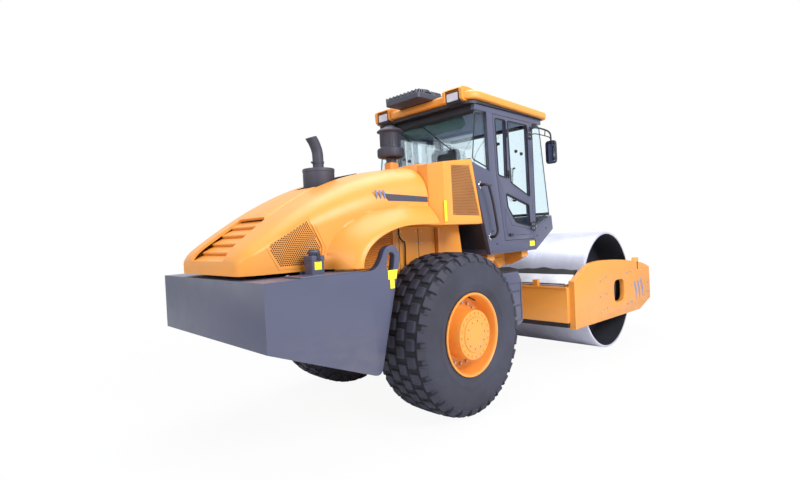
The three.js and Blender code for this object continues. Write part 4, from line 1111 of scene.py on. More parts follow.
class ROLLER_OT_precleaner(bpy.types.Operator):
    """Air pre-cleaner: ribbed skirt, bowl and cap on its orange foot"""
    bl_idname = "roller.precleaner"
    bl_label = "Air pre-cleaner"

    def execute(self, context):
        x, y = 0.345, 0.225
        black = finish("exhaust")
        body = [(0.0, 2.606), (0.128, 2.606), (0.150, 2.612), (0.154, 2.622), (0.154, 2.700),
            (0.149, 2.710), (0.130, 2.716), (0.118, 2.722), (0.116, 2.735), (0.120, 2.880),
            (0.124, 2.888), (0.150, 2.902), (0.154, 2.908), (0.151, 2.915), (0.124, 2.936),
            (0.064, 2.958), (0.060, 2.972), (0.0, 2.976)]
        neck = [(0.0, 2.540), (0.064, 2.540), (0.064, 2.556), (0.056, 2.560), (0.056, 2.575),
            (0.062, 2.579), (0.062, 2.600), (0.056, 2.607), (0.0, 2.607)]
        shape = Shape().add(lathe(body, (x, y, 0), "Z", 72)).add(lathe(neck, (x, y, 0), "Z", 48))
        piece("precleaner_body", shape, black, "rear_frame", angle=36,
            stands_for=["air_precleaner"])
        for label, radius, low, high, width, count in (("skirt", 0.154, 2.624, 2.697, 0.008, 30),
                                                       ("bowl", 0.119, 2.738, 2.876, 0.006, 24)):
            rib = Shape().add(block((x + radius - 0.004, x + radius + 0.0035), (y - width / 2,
                y + width / 2), (low, high)))
            ribs = grow("turned", rib.mesh("rib"), black, {"Count": count, "Centre": (AXLE_X + x, y, 0),
                "Axis": (0, 0, 1)})
            piece(f"precleaner_{label}_ribs", ribs, black, "rear_frame", 0.0012)
        plan = rounded([(x - 0.065, y - 0.065), (x + 0.065, y - 0.065), (x + 0.065, y + 0.065),
            (x - 0.065, y + 0.065)], 0.03)
        piece("precleaner_foot", Shape().add(prism(plan, "Z", 2.375, 2.545)), finish("orange paint"),
            "rear_frame", 0.003)
        return DONE


class ROLLER_OT_engine_bay(bpy.types.Operator):
    """Engine block, radiator with its fins and the louvred side panels"""
    bl_idname = "roller.engine_bay"
    bl_label = "Engine bay"

    def execute(self, context):
        details = context.scene.roller_details
        iron, orange = finish("cast iron"), finish("orange paint")
        piece("engine_body", copied("engine_block"), iron, "rear_frame", 0.02,
            stands_for=["engine_block"], segments=3)
        rib = Shape().add(block((-1.00, -0.985), (-0.336, 0.336), (1.25, 1.84)))
        ribs = grow("row", rib.mesh("rib"), iron, {"Count": 16, "Step": (0.0475, 0, 0)})
        piece("engine_ribs", ribs, iron, "rear_frame", 0.004)
        bolts = [(x, side * 0.337, z) for side in (-1, 1) for x in (-0.96, -0.77, -0.58, -0.39)
            for z in (1.22, 1.87)]
        piece("engine_bolts", stud_mesh(bolts, [(0, math.copysign(1, p[1]), 0) for p in bolts],
            finish("zinc"), 6, 0.013, 0.012), finish("zinc"), "rear_frame")
        shroud = [(-0.44, 1.86), (-0.44, 2.045), (0.44, 2.045), (0.44, 1.86), (0.434, 1.86),
            (0.434, 2.039), (-0.434, 2.039), (-0.434, 1.86)]
        piece("engine_shroud", Shape().add(prism(shroud, "X", -1.10, -0.36)), finish("exhaust"),
            "rear_frame", 0.002)
        piece("radiator_core", copied("radiator"), finish("black plastic"), "rear_frame",
            0.006, stands_for=["radiator"])
        fin = Shape().add(block((-1.386, -1.224), (-0.425, 0.425), (1.462, 1.466)))
        fins = grow("row", fin.mesh("fin"), finish("cast iron"), {"Count": 34, "Step": (0, 0, 0.0112)})
        piece("radiator_fins", fins, finish("cast iron"), "rear_frame")
        for word, side in SIDES.items():
            name = f"engine_side_panel_{word}"
            piece(f"side_panel_{word}", copied(name), orange, "rear_frame",
                details.sheet_edge, stands_for=[name])
            outer = side * 0.520
            slat = slab([(-0.875, outer - side * 0.002, 1.452), (-0.425, outer - side * 0.002, 1.452),
                (-0.425, outer + side * 0.020, 1.440), (-0.875, outer + side * 0.020, 1.440)],
                (0, 0, 0.0035))
            louvres = grow("row", Shape().add(slat).mesh("slat"), orange,
                {"Count": 17, "Step": (0, 0, 0.0195)})
            piece(f"side_louvres_{word}", louvres, orange, "rear_frame")
            trim, seams = Shape(), Shape()
            ys = sorted((outer - side * 0.003, outer + side * 0.024))
            trim.add(frame_strip([(-0.890, 1.425), (-0.410, 1.425), (-0.410, 1.780), (-0.890, 1.780)],
                0.012, "Y", *ys))
            seam = sorted((outer - side * 0.003, outer + side * 0.0015))
            for x in (-0.32, -0.05, 0.20):
                seams.add(block((x - 0.003, x + 0.003), seam, (1.17, 1.77)))
            flange = sorted((outer - side * 0.002, outer + side * 0.045))
            trim.add(block((0.20, 0.232), flange, (1.16, 1.765)))
            piece(f"side_panel_trim_{word}", trim, orange, "rear_frame", 0.002)
            piece(f"side_panel_seams_{word}", seams, finish("seal"), "rear_frame")
            dots = [(x, outer + side * 0.0002, z) for x in (-0.36, -0.30, -0.09, -0.01, 0.17)
                for z in (1.20, 1.42, 1.62, 1.74)]
            piece(f"side_panel_screws_{word}", stud_mesh(dots, [(0, side, 0)] * len(dots), finish("zinc"),
                6, 0.008, 0.006), finish("zinc"), "rear_frame")
            hose = pipe([(-0.33, outer + side * 0.012, 1.780), (-0.335, outer + side * 0.022, 1.700),
                (-0.30, outer + side * 0.024, 1.655), (-0.26, outer + side * 0.020, 1.620),
                (-0.262, outer + side * 0.018, 1.45), (-0.262, outer + side * 0.012, 1.20)], 0.007, 10)
            piece(f"bay_hose_{word}", Shape().add(hose), finish("seal"), "rear_frame")
        return DONE


# ---------------------------------------------------------------- cowl and pods
POD_MESH = [(-0.020, 2.345), (0.268, 2.362), (0.408, 1.862), (-0.017, 1.872)]


class ROLLER_OT_cowl(bpy.types.Operator):
    """Cowl between hood and cab, with the perforated intake pods"""
    bl_idname = "roller.cowl"
    bl_label = "Cowl and pods"

    def execute(self, context):
        details = context.scene.roller_details
        orange = finish("orange paint")
        piece("cowl_body", copied("rear_cowl"), orange, "rear_frame", details.soft_edge,
            stands_for=["rear_cowl"])
        seams = Shape().add(block((-0.205, 0.40), (-0.004, 0.004), (2.3800, 2.3862)))
        piece("cowl_seam", seams, finish("seal"), "rear_frame")
        holes, facings, labels, strips = [], [], Shape(), Shape()
        for word, side in SIDES.items():
            name = f"intake_pod_{word}"
            recess = Shape().add(prism(rounded(POD_MESH, 0.012, 3), "Y",
                *sorted((side * 0.949, side * 0.97))))
            pod = with_cutters(copied(name), "DIFFERENCE", recess)
            piece(f"pod_{word}", pod, orange, "rear_frame", details.soft_edge,
                stands_for=[name])
            plate = Shape().add(prism(inset(POD_MESH, 0.002), "Y", *sorted((side * 0.9480, side * 0.9500))))
            piece(f"pod_mesh_{word}", plate, finish("mesh brown"), "rear_frame")
            for x, z in hex_points(inset(POD_MESH, 0.010), details.mesh_pitch):
                holes.append((x, side * 0.9501, z))
                facings.append((0, side, 0))
            labels.add(block((-0.140, -0.104), sorted((side * 0.9547, side * 0.9556)), (1.820, 2.010)))
            lip = [(0.435, 1.786), (0.441, 1.786), (0.302, 2.424), (0.296, 2.424)]
            strips.add(prism(lip, "Y", *sorted((side * 0.700, side * 0.957))))
        piece("pod_holes", stud_mesh(holes, facings, finish("hole"), 6, details.mesh_pitch * 0.30,
            0.0008), finish("hole"), "rear_frame")
        piece("pod_labels", labels, finish("yellow label"), "rear_frame")
        piece("pod_front_lips", strips, orange, "rear_frame", 0.002)
        return DONE


# ---------------------------------------------------------------- cab
CAB_Y = 0.740
CAB_IN = 0.689  # inner face of the side walls
DOOR_WINDOWS = [[(1.065, 2.966), (1.090, 2.333), (1.260, 2.307), (1.269, 2.966)],
                [(1.320, 2.966), (1.343, 2.255), (1.745, 2.101), (1.740, 2.966)],
                [(1.235, 2.121), (1.255, 1.967), (1.415, 1.792), (1.724, 1.740), (1.714, 1.993)]]
DOOR_GAP = [(1.167, 1.580), (1.802, 1.580), (1.802, 3.015), (1.012, 3.015), (1.043, 2.348)]
REAR_WINDOW = [(0.627, 2.477), (0.898, 2.400), (0.881, 2.992), (0.704, 2.992)]
FRONT_WINDOW = [(1.881, 1.781), (2.231, 1.895), (2.069, 2.997), (1.881, 2.997)]
REAR_PANE = [(0.603, 2.451), (0.702, 3.018)]  # outer face of the rear pane: foot and head
FRONT_PANE = [(2.246, 1.864), (2.078, 3.018)]


def on_pane(line, y, z, off=0.0):
    """Point of a slanting pane at a height, moved off it along X."""
    (x0, z0), (x1, z1) = line
    return x0 + (x1 - x0) * (z - z0) / (z1 - z0) + off, y, z


class ROLLER_OT_cab_shell(bpy.types.Operator):
    """Cab walls, floor and window surrounds"""
    bl_idname = "roller.cab_shell"
    bl_label = "Cab shell"

    def execute(self, context):
        details = context.scene.roller_details
        grey, seal, black = finish("grey paint"), finish("seal"), finish("black plastic")
        piece("cab_floor_pan", copied("cab_floor"), grey, "rear_frame", details.sheet_edge,
              stands_for=["cab_floor"])
        piece("cab_rear_panel", copied("cab_rear_wall"), black, "rear_frame",
            details.sheet_edge, stands_for=["cab_rear_wall"])
        gaskets, screws, facings = Shape(), [], []
        for word, side in SIDES.items():
            name = f"cab_side_{word}"
            piece(f"cab_wall_{word}", copied(name), grey, "rear_frame",
                details.soft_edge + 0.003, stands_for=[name], segments=3)
            near = sorted((side * (CAB_Y - 0.018), side * (CAB_Y - 0.0135)))
            for outline in (REAR_WINDOW, FRONT_WINDOW):
                gaskets.add(frame_strip(rounded(outline, 0.04, 5), 0.014, "Y", *near))
            deep = sorted((side * (CAB_Y - 0.030), side * (CAB_Y - 0.004)))
            gaskets.add(frame_strip(DOOR_GAP, 0.0055, "Y", *deep))
            for x, z in ((0.93, 2.21), (0.93, 1.70), (1.00, 1.555), (1.83, 1.555), (1.88, 1.615),
                    (2.11, 1.70)):
                screws.append((x, side * (CAB_Y - 0.0002), z))
                facings.append((0, side, 0))
            sill = [(0.900, 1.462), (1.860, 1.462), (1.875, 1.480), (0.898, 1.480)]
            ribs = Shape().add(prism(sill, "Y", *sorted((side * (CAB_Y - 0.002), side * (CAB_Y + 0.006)))))
            piece(f"cab_sill_{word}", ribs, grey, "rear_frame", 0.002)
            label = block((1.698, 1.812), sorted((side * (CAB_Y + 0.0002), side * (CAB_Y + 0.0012))),
                (1.493, 1.555))
            piece(f"cab_label_{word}", Shape().add(label), finish("yellow label"), "rear_frame")
        piece("window_gaskets", gaskets, seal, "rear_frame", angle=30)
        piece("cab_screws", stud_mesh(screws, facings, seal, 6, 0.009, 0.005), seal, "rear_frame")
        self.headers(black)
        self.panes(seal)
        self.wipers(seal)
        return DONE

    def headers(self, black):
        """Cross rails that close the shell above the panes."""
        rails = Shape()
        rails.add(prism([(0.690, 3.006), (0.760, 3.006), (0.770, 3.0798), (0.700, 3.0798)], "Y", -CAB_IN,
            CAB_IN))
        rails.add(prism([(2.030, 3.006), (2.088, 3.006), (2.078, 3.0798), (2.020, 3.0798)], "Y", -CAB_IN,
            CAB_IN))
        piece("cab_headers", rails, black, "rear_frame", 0.004)
        lining = rounded([(0.790, -0.675), (2.010, -0.675), (2.010, 0.675), (0.790, 0.675)], 0.06)
        piece("headliner", Shape().add(prism(lining, "Z", 3.040, 3.0795)), finish("lining"), "rear_frame",
            0.006)

    def panes(self, seal):
        edges = Shape()  # rubber along the lower and upper edges of the front and rear panes
        wide = CAB_IN + 0.03
        for line, low, high, off in ((FRONT_PANE, 1.868, 1.904, 0.004), (REAR_PANE, 2.453, 2.490, -0.004),
                                     (REAR_PANE, 2.975, 3.015, -0.004)):
            corners = [on_pane(line, y, z) for y, z in ((-wide, low), (wide, low), (wide, high),
                (-wide, high))]
            edges.add(slab(corners, (off, 0, 0)))
        piece("pane_edges", edges, seal, "rear_frame", 0.001)
        for node in ("rear_glass", "windscreen", "door_glass_right", "door_glass_left"):
            NODES[node].data.materials.clear()
            NODES[node].data.materials.append(finish("glass"))
        outline = rounded([(0.560, 2.995), (0.240, 2.835), (-0.560, 2.835), (-0.620, 2.880),
            (-0.560, 2.995)], 0.05, 3)
        band = slab([on_pane(REAR_PANE, y, z, 0.010) for y, z in outline], (0.003, 0, 0))
        piece("rear_sun_band", Shape().add(band), finish("tint band"), "rear_frame")

    def wipers(self, seal):
        wiper = Shape()
        for line, off, points in (
                (REAR_PANE, -0.020, [(0.10, 3.030), (-0.08, 2.900), (-0.26, 2.770)]),
                (REAR_PANE, -0.012, [(-0.20, 2.800), (-0.30, 2.730), (-0.45, 2.620)]),
                (FRONT_PANE, 0.020, [(0.10, 3.010), (0.30, 2.832), (0.42, 2.626)]),
                (FRONT_PANE, 0.012, [(0.34, 2.770), (0.39, 2.500), (0.43, 2.255)])):
            wiper.add(pipe([on_pane(line, y, z, off) for y, z in points], 0.006, 8))
        piece("wipers", wiper, seal, "rear_frame")
        tube = pipe([(0.680, 0.46, 3.070), (0.620, 0.43, 2.990), (0.560, 0.24, 2.900),
            (0.540, 0.12, 2.820)], 0.012, 10)
        piece("roof_hose", Shape().add(tube), seal, "rear_frame")


class ROLLER_OT_doors(bpy.types.Operator):
    """Door leaves with gaskets, latches, knobs and hinges"""
    bl_idname = "roller.doors"
    bl_label = "Doors"

    # x, height, start behind the face, reach
    KNOBS = [(1.291, 2.822, 0.004, 0.022), (1.291, 2.348, 0.004, 0.022), (1.150, 2.690, 0.046, 0.030),
             (1.534, 2.640, 0.046, 0.012), (1.652, 2.620, 0.046, 0.018)]
    KNOB = [(0.0, 0.0), (0.021, 0.0), (0.021, 0.008), (0.014, 0.011), (0.014, 0.018), (0.018, 0.022)]

    def execute(self, context):
        details = context.scene.roller_details
        for word, side in SIDES.items():
            body = f"door_leaf_{word}"
            piece(f"door_panel_{word}", copied(f"door_{word}"), finish("grey paint"), body,
                  details.soft_edge, stands_for=[f"door_{word}"])
            face = side * CAB_Y
            near = sorted((face - side * 0.004, face + side * 0.004))
            gaskets = Shape()
            for outline in DOOR_WINDOWS:
                gaskets.add(frame_strip(rounded(inset(outline, -0.010), 0.035, 5), 0.014, "Y", *near))
            panel = [(1.230, 1.637), (1.755, 1.637), (1.755, 1.699), (1.322, 1.761), (1.199, 1.957),
                (1.190, 1.761)]
            gaskets.add(frame_strip(panel, 0.004, "Y", *sorted((face - side * 0.003, face + side * 0.0006))))
            piece(f"door_gaskets_{word}", gaskets, finish("seal"), body, angle=30)
            piece(f"door_fittings_{word}", self.fittings(side, face), finish("black plastic"), body,
                0.0012)
            bolts = [(x, face + side * 0.0203, z) for x in (1.745, 1.782) for z in (1.709, 1.759, 2.832,
                2.882)]
            piece(f"hinge_bolts_{word}", stud_mesh(bolts, [(0, side, 0)] * len(bolts), finish("zinc"), 6,
                0.007, 0.005), finish("zinc"), body)
            grip = [(1.520, 0.052, 2.441), (1.520, 0.085, 2.420), (1.500, 0.090, 2.266),
                (1.500, 0.090, 2.070), (1.520, 0.052, 2.049)]
            piece(f"door_grip_{word}", Shape().add(pipe([(x, face - side * off, z) for x, off, z in grip],
                0.011, 10)), finish("black plastic"), body)
        return DONE

    def fittings(self, side, face):
        made = Shape()
        out = (0, side, 0)
        for x, z, start, reach in self.KNOBS:
            profile = [*self.KNOB, (0.014, reach + 0.004), (0.0, reach + 0.005)]
            made.add(lathe(profile, (x, face - side * start, z), out, 20))
        for z in (2.348, 2.822):
            made.add(block((1.281, 1.301), sorted((face - side * 0.004, face + side * 0.012)),
                (z - 0.045, z + 0.045)))
        latch = [(1.250, 1.625), (1.333, 1.625), (1.333, 1.660), (1.250, 1.660)]
        made.add(prism(rounded(latch, 0.012, 4), "Y", *sorted((face - side * 0.003, face + side * 0.010))))
        knob = [(0.0, 0.0), (0.017, 0.0), (0.017, 0.010), (0.012, 0.014), (0.0, 0.014)]
        made.add(lathe(knob, (1.271, face + side * 0.009, 1.642), out, 20))
        for low, high in ((1.689, 1.779), (2.812, 2.902)):
            made.add(block((1.728, 1.808), sorted((face + side * 0.0185, face + side * 0.0205)),
                (low - 0.003, high + 0.003)))
            barrel = [(0.0, 0.0), (0.0125, 0.0), (0.0125, 0.112), (0.0, 0.112)]
            made.add(lathe(barrel, (1.811, face + side * 0.0113, low - 0.011), "Z", 20))
        return made


ROOF_X = (0.560, 2.190)
ROOF_HALF = 0.806
ROOF_FALL = 0.025  # drop of the roof towards the front, per metre


def roof_ring(inwards, z):
    """Plan of the roof with larger round corners at the rear."""
    x0, x1, half = ROOF_X[0] + inwards, ROOF_X[1] - inwards, ROOF_HALF - inwards
    made = []
    for x, front, left in ((x1, 1, 1), (x0, 0, 1), (x0, 0, -1), (x1, 1, -1)):
        radius = max(0.03, (0.11 if front else 0.19) - inwards)
        centre = (x - radius if front else x + radius, left * (half - radius))
        start = {(1, 1): 0, (0, 1): 1, (0, -1): 2, (1, -1): 3}[front, left]
        for k in range(9):
            turn = math.pi / 2 * (start + k / 8)
            px, py = centre[0] + radius * math.cos(turn), centre[1] + radius * math.sin(turn)
            made.append((px, py, z + ROOF_FALL * (1.2 - px)))
    return made


class ROLLER_OT_roof(bpy.types.Operator):
    """Roof with its lamp pods, and the air conditioner behind it"""
    bl_idname = "roller.roof"
    bl_label = "Roof and air conditioner"

    def execute(self, context):
        orange, black = finish("orange paint"), finish("black plastic")
        levels = [(0.050, 3.1080), (0.014, 3.109), (0.004, 3.114), (0.0, 3.124), (0.0, 3.168),
            (0.006, 3.180), (0.016, 3.188), (0.050, 3.206), (0.062, 3.212), (0.085, 3.217), (0.30, 3.224),
            (0.60, 3.227)]
        piece("roof_cap", Shape().add(swept([roof_ring(*level) for level in levels])), orange, "rear_frame",
              angle=50, stands_for=["cab_roof"])
        gutter = [[(x, y, z) for x, y, _ in roof_ring(0.045, 0.0)] for z in (3.0806, 3.112)]
        piece("roof_gutter", Shape().add(swept(gutter)), black, "rear_frame")
        pods, lamps, lenses, hollows = Shape(), Shape(), Shape(), Shape()
        for side in SIDES.values():
            span = sorted((side * 0.420, side * 0.690))
            outline = [(0.548, 3.128), (0.540, 3.235), (0.560, 3.258), (0.660, 3.262), (0.980, 3.226),
                (0.980, 3.180), (0.640, 3.105), (0.580, 3.110)]
            pods.add(prism(outline, "Y", *span))
            hollows.add(block((0.500, 0.600), sorted((side * 0.455, side * 0.650)), (3.080, 3.242)))
            lamps.add(block((0.556, 0.598), sorted((side * 0.462, side * 0.642)), (3.108, 3.218)))
            hoop = [(0.600, 0.452, 3.120), (0.566, 0.452, 3.098), (0.566, 0.652, 3.098),
                (0.600, 0.652, 3.120)]
            lamps.add(pipe([(x, side * y, z) for x, y, z in hoop], 0.006, 8))
            lens = [(side * 0.476, 3.122), (side * 0.628, 3.122), (side * 0.628, 3.206),
                (side * 0.476, 3.206)]
            lenses.add(prism(rounded(lens, 0.012), "X", 0.553, 0.557))
        housing = with_cutters(pods.mesh("pods"), "DIFFERENCE", hollows)
        piece("lamp_housings", housing, orange, "rear_frame", 0.008)
        piece("work_lamps", lamps, black, "rear_frame", 0.005)
        piece("lamp_lenses", lenses, finish("lens"), "rear_frame")
        self.air_conditioner()
        return DONE

    def air_conditioner(self):
        dark, black = finish("dark grey paint"), finish("exhaust")
        tray = Shape()
        tray.add(prism(rounded([(0.330, -0.264), (0.655, -0.264), (0.655, 0.264), (0.330, 0.264)], 0.03),
            "Z", 3.200, 3.262))
        tray.add(prism(rounded([(0.360, -0.240), (0.640, -0.240), (0.640, 0.240), (0.360, 0.240)], 0.05),
            "Z", 3.255, 3.282))
        tray.add(block((0.640, 0.795), (-0.226, 0.226), (3.216, 3.290)))
        piece("ac_housing", tray, dark, "rear_frame", 0.008, stands_for=["ac_condenser"])
        fans = Shape()
        centres = (-0.145, 0.145)
        bell = [(0.0, 3.280), (0.108, 3.280), (0.108, 3.306), (0.100, 3.314), (0.092, 3.306),
            (0.034, 3.302), (0.030, 3.318), (0.0, 3.320)]
        for y in centres:
            fans.add(lathe(bell, (0.500, y, 0), "Z", 40))
            for radius in (0.050, 0.068, 0.086):
                fans.add(lathe([(radius, 3.309), (radius + 0.003, 3.311), (radius, 3.314),
                    (radius - 0.003, 3.311)], (0.500, y, 0), "Z", 40))
        piece("ac_fans", fans, black, "rear_frame", angle=40)
        fin = Shape().add(prism([(0.655, 3.285), (0.780, 3.285), (0.765, 3.318), (0.670, 3.318)], "Y",
            -0.215, -0.207))
        fins = grow("row", fin.mesh("fin"), black, {"Count": 17, "Step": (0, 0.0262, 0)})
        piece("ac_fins", fins, black, "rear_frame", 0.0015)
        plan = [(0.335, -0.262), (0.640, -0.262), (0.640, 0.262), (0.335, 0.262)]
        points = [(x, y, 3.260) for x, y in hex_points(plan, 0.034)
                  if all(math.hypot(x - 0.500, y - c) > 0.112 for c in centres)]
        piece("ac_knobs", stud_mesh(points, [(0, 0, 1)] * len(points), dark, 8, 0.012, 0.040), dark,
            "rear_frame")


class ROLLER_OT_cab_fittings(bpy.types.Operator):
    """Handrails, mirrors and step boxes"""
    bl_idname = "roller.cab_fittings"
    bl_label = "Handrails, mirrors and steps"

    RAIL_ENDS = ((0.725, 2.204), (0.874, 1.637))

    def execute(self, context):
        black = finish("black plastic")
        for word, side in SIDES.items():
            self.handrail(word, side, black)
            self.mirror(word, side, black)
            self.step(word, side)
        return DONE

    def handrail(self, word, side, black):
        wall, out = side * CAB_Y, side * (CAB_Y + 0.090)
        (x0, z0), (x1, z1) = self.RAIL_ENDS
        near, turn = wall + side * 0.030, out - side * 0.022
        rail = [(x0, near, z0), (x0, turn, z0), (x0 + 0.031, out, z0 - 0.014), (0.783, out, 2.142),
            (0.834, out, 1.993), (0.877, out, 1.802), (0.892, out, 1.699), (x1 + 0.003, turn, z1 + 0.010),
            (x1, near, z1)]
        shape = Shape().add(pipe(rail, 0.0148, 16, 8))
        ends = Shape()
        for x, z in self.RAIL_ENDS:
            shape.add(rod((x, wall, z), (x, wall + side * 0.034, z), 0.019))
            foot = (x, wall - side * 0.001, z)
            ends.add(lathe([(0.0, 0.0), (0.026, 0.0), (0.026, 0.005), (0.021, 0.008), (0.0, 0.008)], foot,
                (0, side, 0), 24))
            for rise in (-0.034, 0.034):
                bolt = (x, wall - side * 0.001, z + rise)
                ends.add(lathe([(0.0, 0.0), (0.009, 0.0), (0.009, 0.007), (0.0, 0.008)], bolt,
                    (0, side, 0), 6))
        piece(f"handrail_bar_{word}", shape, black, "rear_frame", angle=40,
            stands_for=[f"handrail_{word}"])
        piece(f"handrail_ends_{word}", ends, finish("chrome"), "rear_frame")

    def step(self, word, side):
        name = f"step_box_{word}"
        dark = finish("dark grey paint")
        piece(f"step_housing_{word}", copied(name), finish("grey paint"), "rear_frame", 0.014,
              stands_for=[name], segments=3)
        extras = Shape()
        ys = sorted((side * 0.928, side * 0.934))
        extras.add(frame_strip([(0.835, 0.70), (1.135, 0.70), (1.135, 1.12), (0.835, 1.12)], 0.006, "Y", *ys))
        for z in (0.86, 1.02):
            extras.add(block((0.850, 1.120), sorted((side * 0.929, side * 0.938)), (z, z + 0.012)))
        piece(f"step_seams_{word}", extras, dark, "rear_frame", 0.002)
        plan = hex_points([(0.83, 0.55), (1.09, 0.55), (1.09, 0.90), (0.83, 0.90)], 0.036)
        studs = stud_mesh([(x, side * y, 1.2402) for x, y in plan], [(0, 0, 1)] * len(plan), dark, 8,
            0.009, 0.004)
        piece(f"step_tread_{word}", studs, dark, "rear_frame")

    def mirror(self, word, side, black):
        reach = CAB_Y + 0.135  # middle of the mirror
        arm = Shape()
        upper = [(1.829, CAB_Y + 0.004, 2.930), (1.852, reach - 0.080, 2.945), (1.985, reach - 0.022,
            2.922), (2.060, reach - 0.005, 2.893), (2.078, reach, 2.850), (2.080, reach, 2.770)]
        lower = [(1.829, CAB_Y + 0.004, 2.865), (1.860, reach - 0.085, 2.870), (1.985, reach - 0.030,
            2.850), (2.060, reach - 0.010, 2.835), (2.078, reach - 0.002, 2.810)]
        for points, radius in ((upper, 0.0105), (lower, 0.006)):
            arm.add(pipe([(x, side * y, z) for x, y, z in points], radius, 12, 8))
        arm.add(block((1.812, 1.848), sorted((side * (CAB_Y + 0.0005), side * (CAB_Y + 0.012))),
            (2.815, 2.960)))
        arm.add(rod((1.985, side * (reach - 0.022), 2.922), (1.985, side * (reach - 0.030), 2.850), 0.006,
            10))
        piece(f"mirror_arm_{word}", arm, black, "rear_frame", stands_for=[f"mirror_{word}"])
        half, low, high = 0.072, 2.505, 2.795
        face = rounded([(side * (reach - half), low), (side * (reach + half), low),
            (side * (reach + half), high), (side * (reach - half), high)], 0.045, 6)
        centre = Vector((side * reach, (low + high) / 2))
        rings = [[(x, *(centre + (Vector(p) - centre) * scale)) for p in face] for x, scale in (
            (2.0585, 0.93), (2.061, 0.97), (2.069, 1.0), (2.085, 0.99), (2.095, 0.93), (2.102, 0.78))]
        piece(f"mirror_shell_{word}", Shape().add(swept(rings)), black, "rear_frame", angle=60)
        glass = [tuple(centre + (Vector(p) - centre) * 0.90) for p in face]
        piece(f"mirror_pane_{word}", Shape().add(prism(glass, "X", 2.0576, 2.0590)),
            finish("mirror face"), "rear_frame")


# ---------------------------------------------------------------- operator's place
def cushion(name, box, softness, resting):
    """Padded cushion: a rounded block that a short cloth simulation fills out."""
    (x0, x1), (y0, y1), (z0, z1), lean = box
    rings = []
    for i in range(9):
        t = i / 8
        shrink = softness * (1 - math.sqrt(max(0.0, 1 - (2 * t - 1) ** 4)))
        base = rounded([(x0 + shrink, y0 + shrink), (x1 - shrink, y0 + shrink),
            (x1 - shrink, y1 - shrink), (x0 + shrink, y1 - shrink)], 0.06, 5)
        z = z0 + (z1 - z0) * t
        rings.append([(x + lean * t, y, z) for x, y in base])
    mesh = Shape().add(swept(rings)).mesh(name)
    thing = put(name, mesh)
    even = thing.modifiers.new("Even", "REMESH")
    even.mode = "VOXEL"
    even.voxel_size = 0.010
    mesh = evaluated_mesh(thing)
    thing = put(name, mesh)
    pins = thing.vertex_groups.new(name="seams")
    for vertex in mesh.vertices:
        on_seam = resting(vertex.co - Vector((AXLE_X, 0, 0)))
        pins.add([vertex.index], 1.0 if on_seam else 0.0, "REPLACE")
    cloth = thing.modifiers.new("Filling", "CLOTH")
    cloth.settings.quality = 5
    cloth.settings.use_pressure = True
    cloth.settings.uniform_pressure_force = 4
    cloth.settings.effector_weights.gravity = 0
    cloth.settings.vertex_group_mass = "seams"
    cloth.point_cache.frame_start, cloth.point_cache.frame_end = 1, 12
    start = [v.co.copy() for v in mesh.vertices]
    scene = bpy.context.scene
    for number in range(1, 13):
        scene.frame_set(number)
    puffed = evaluated_mesh(thing)
    scene.frame_set(1)
    for vertex, before in zip(puffed.vertices, start):
        move = vertex.co - before
        if move.length > 0.010:
            vertex.co = before + move.normalized() * 0.010
    return puffed


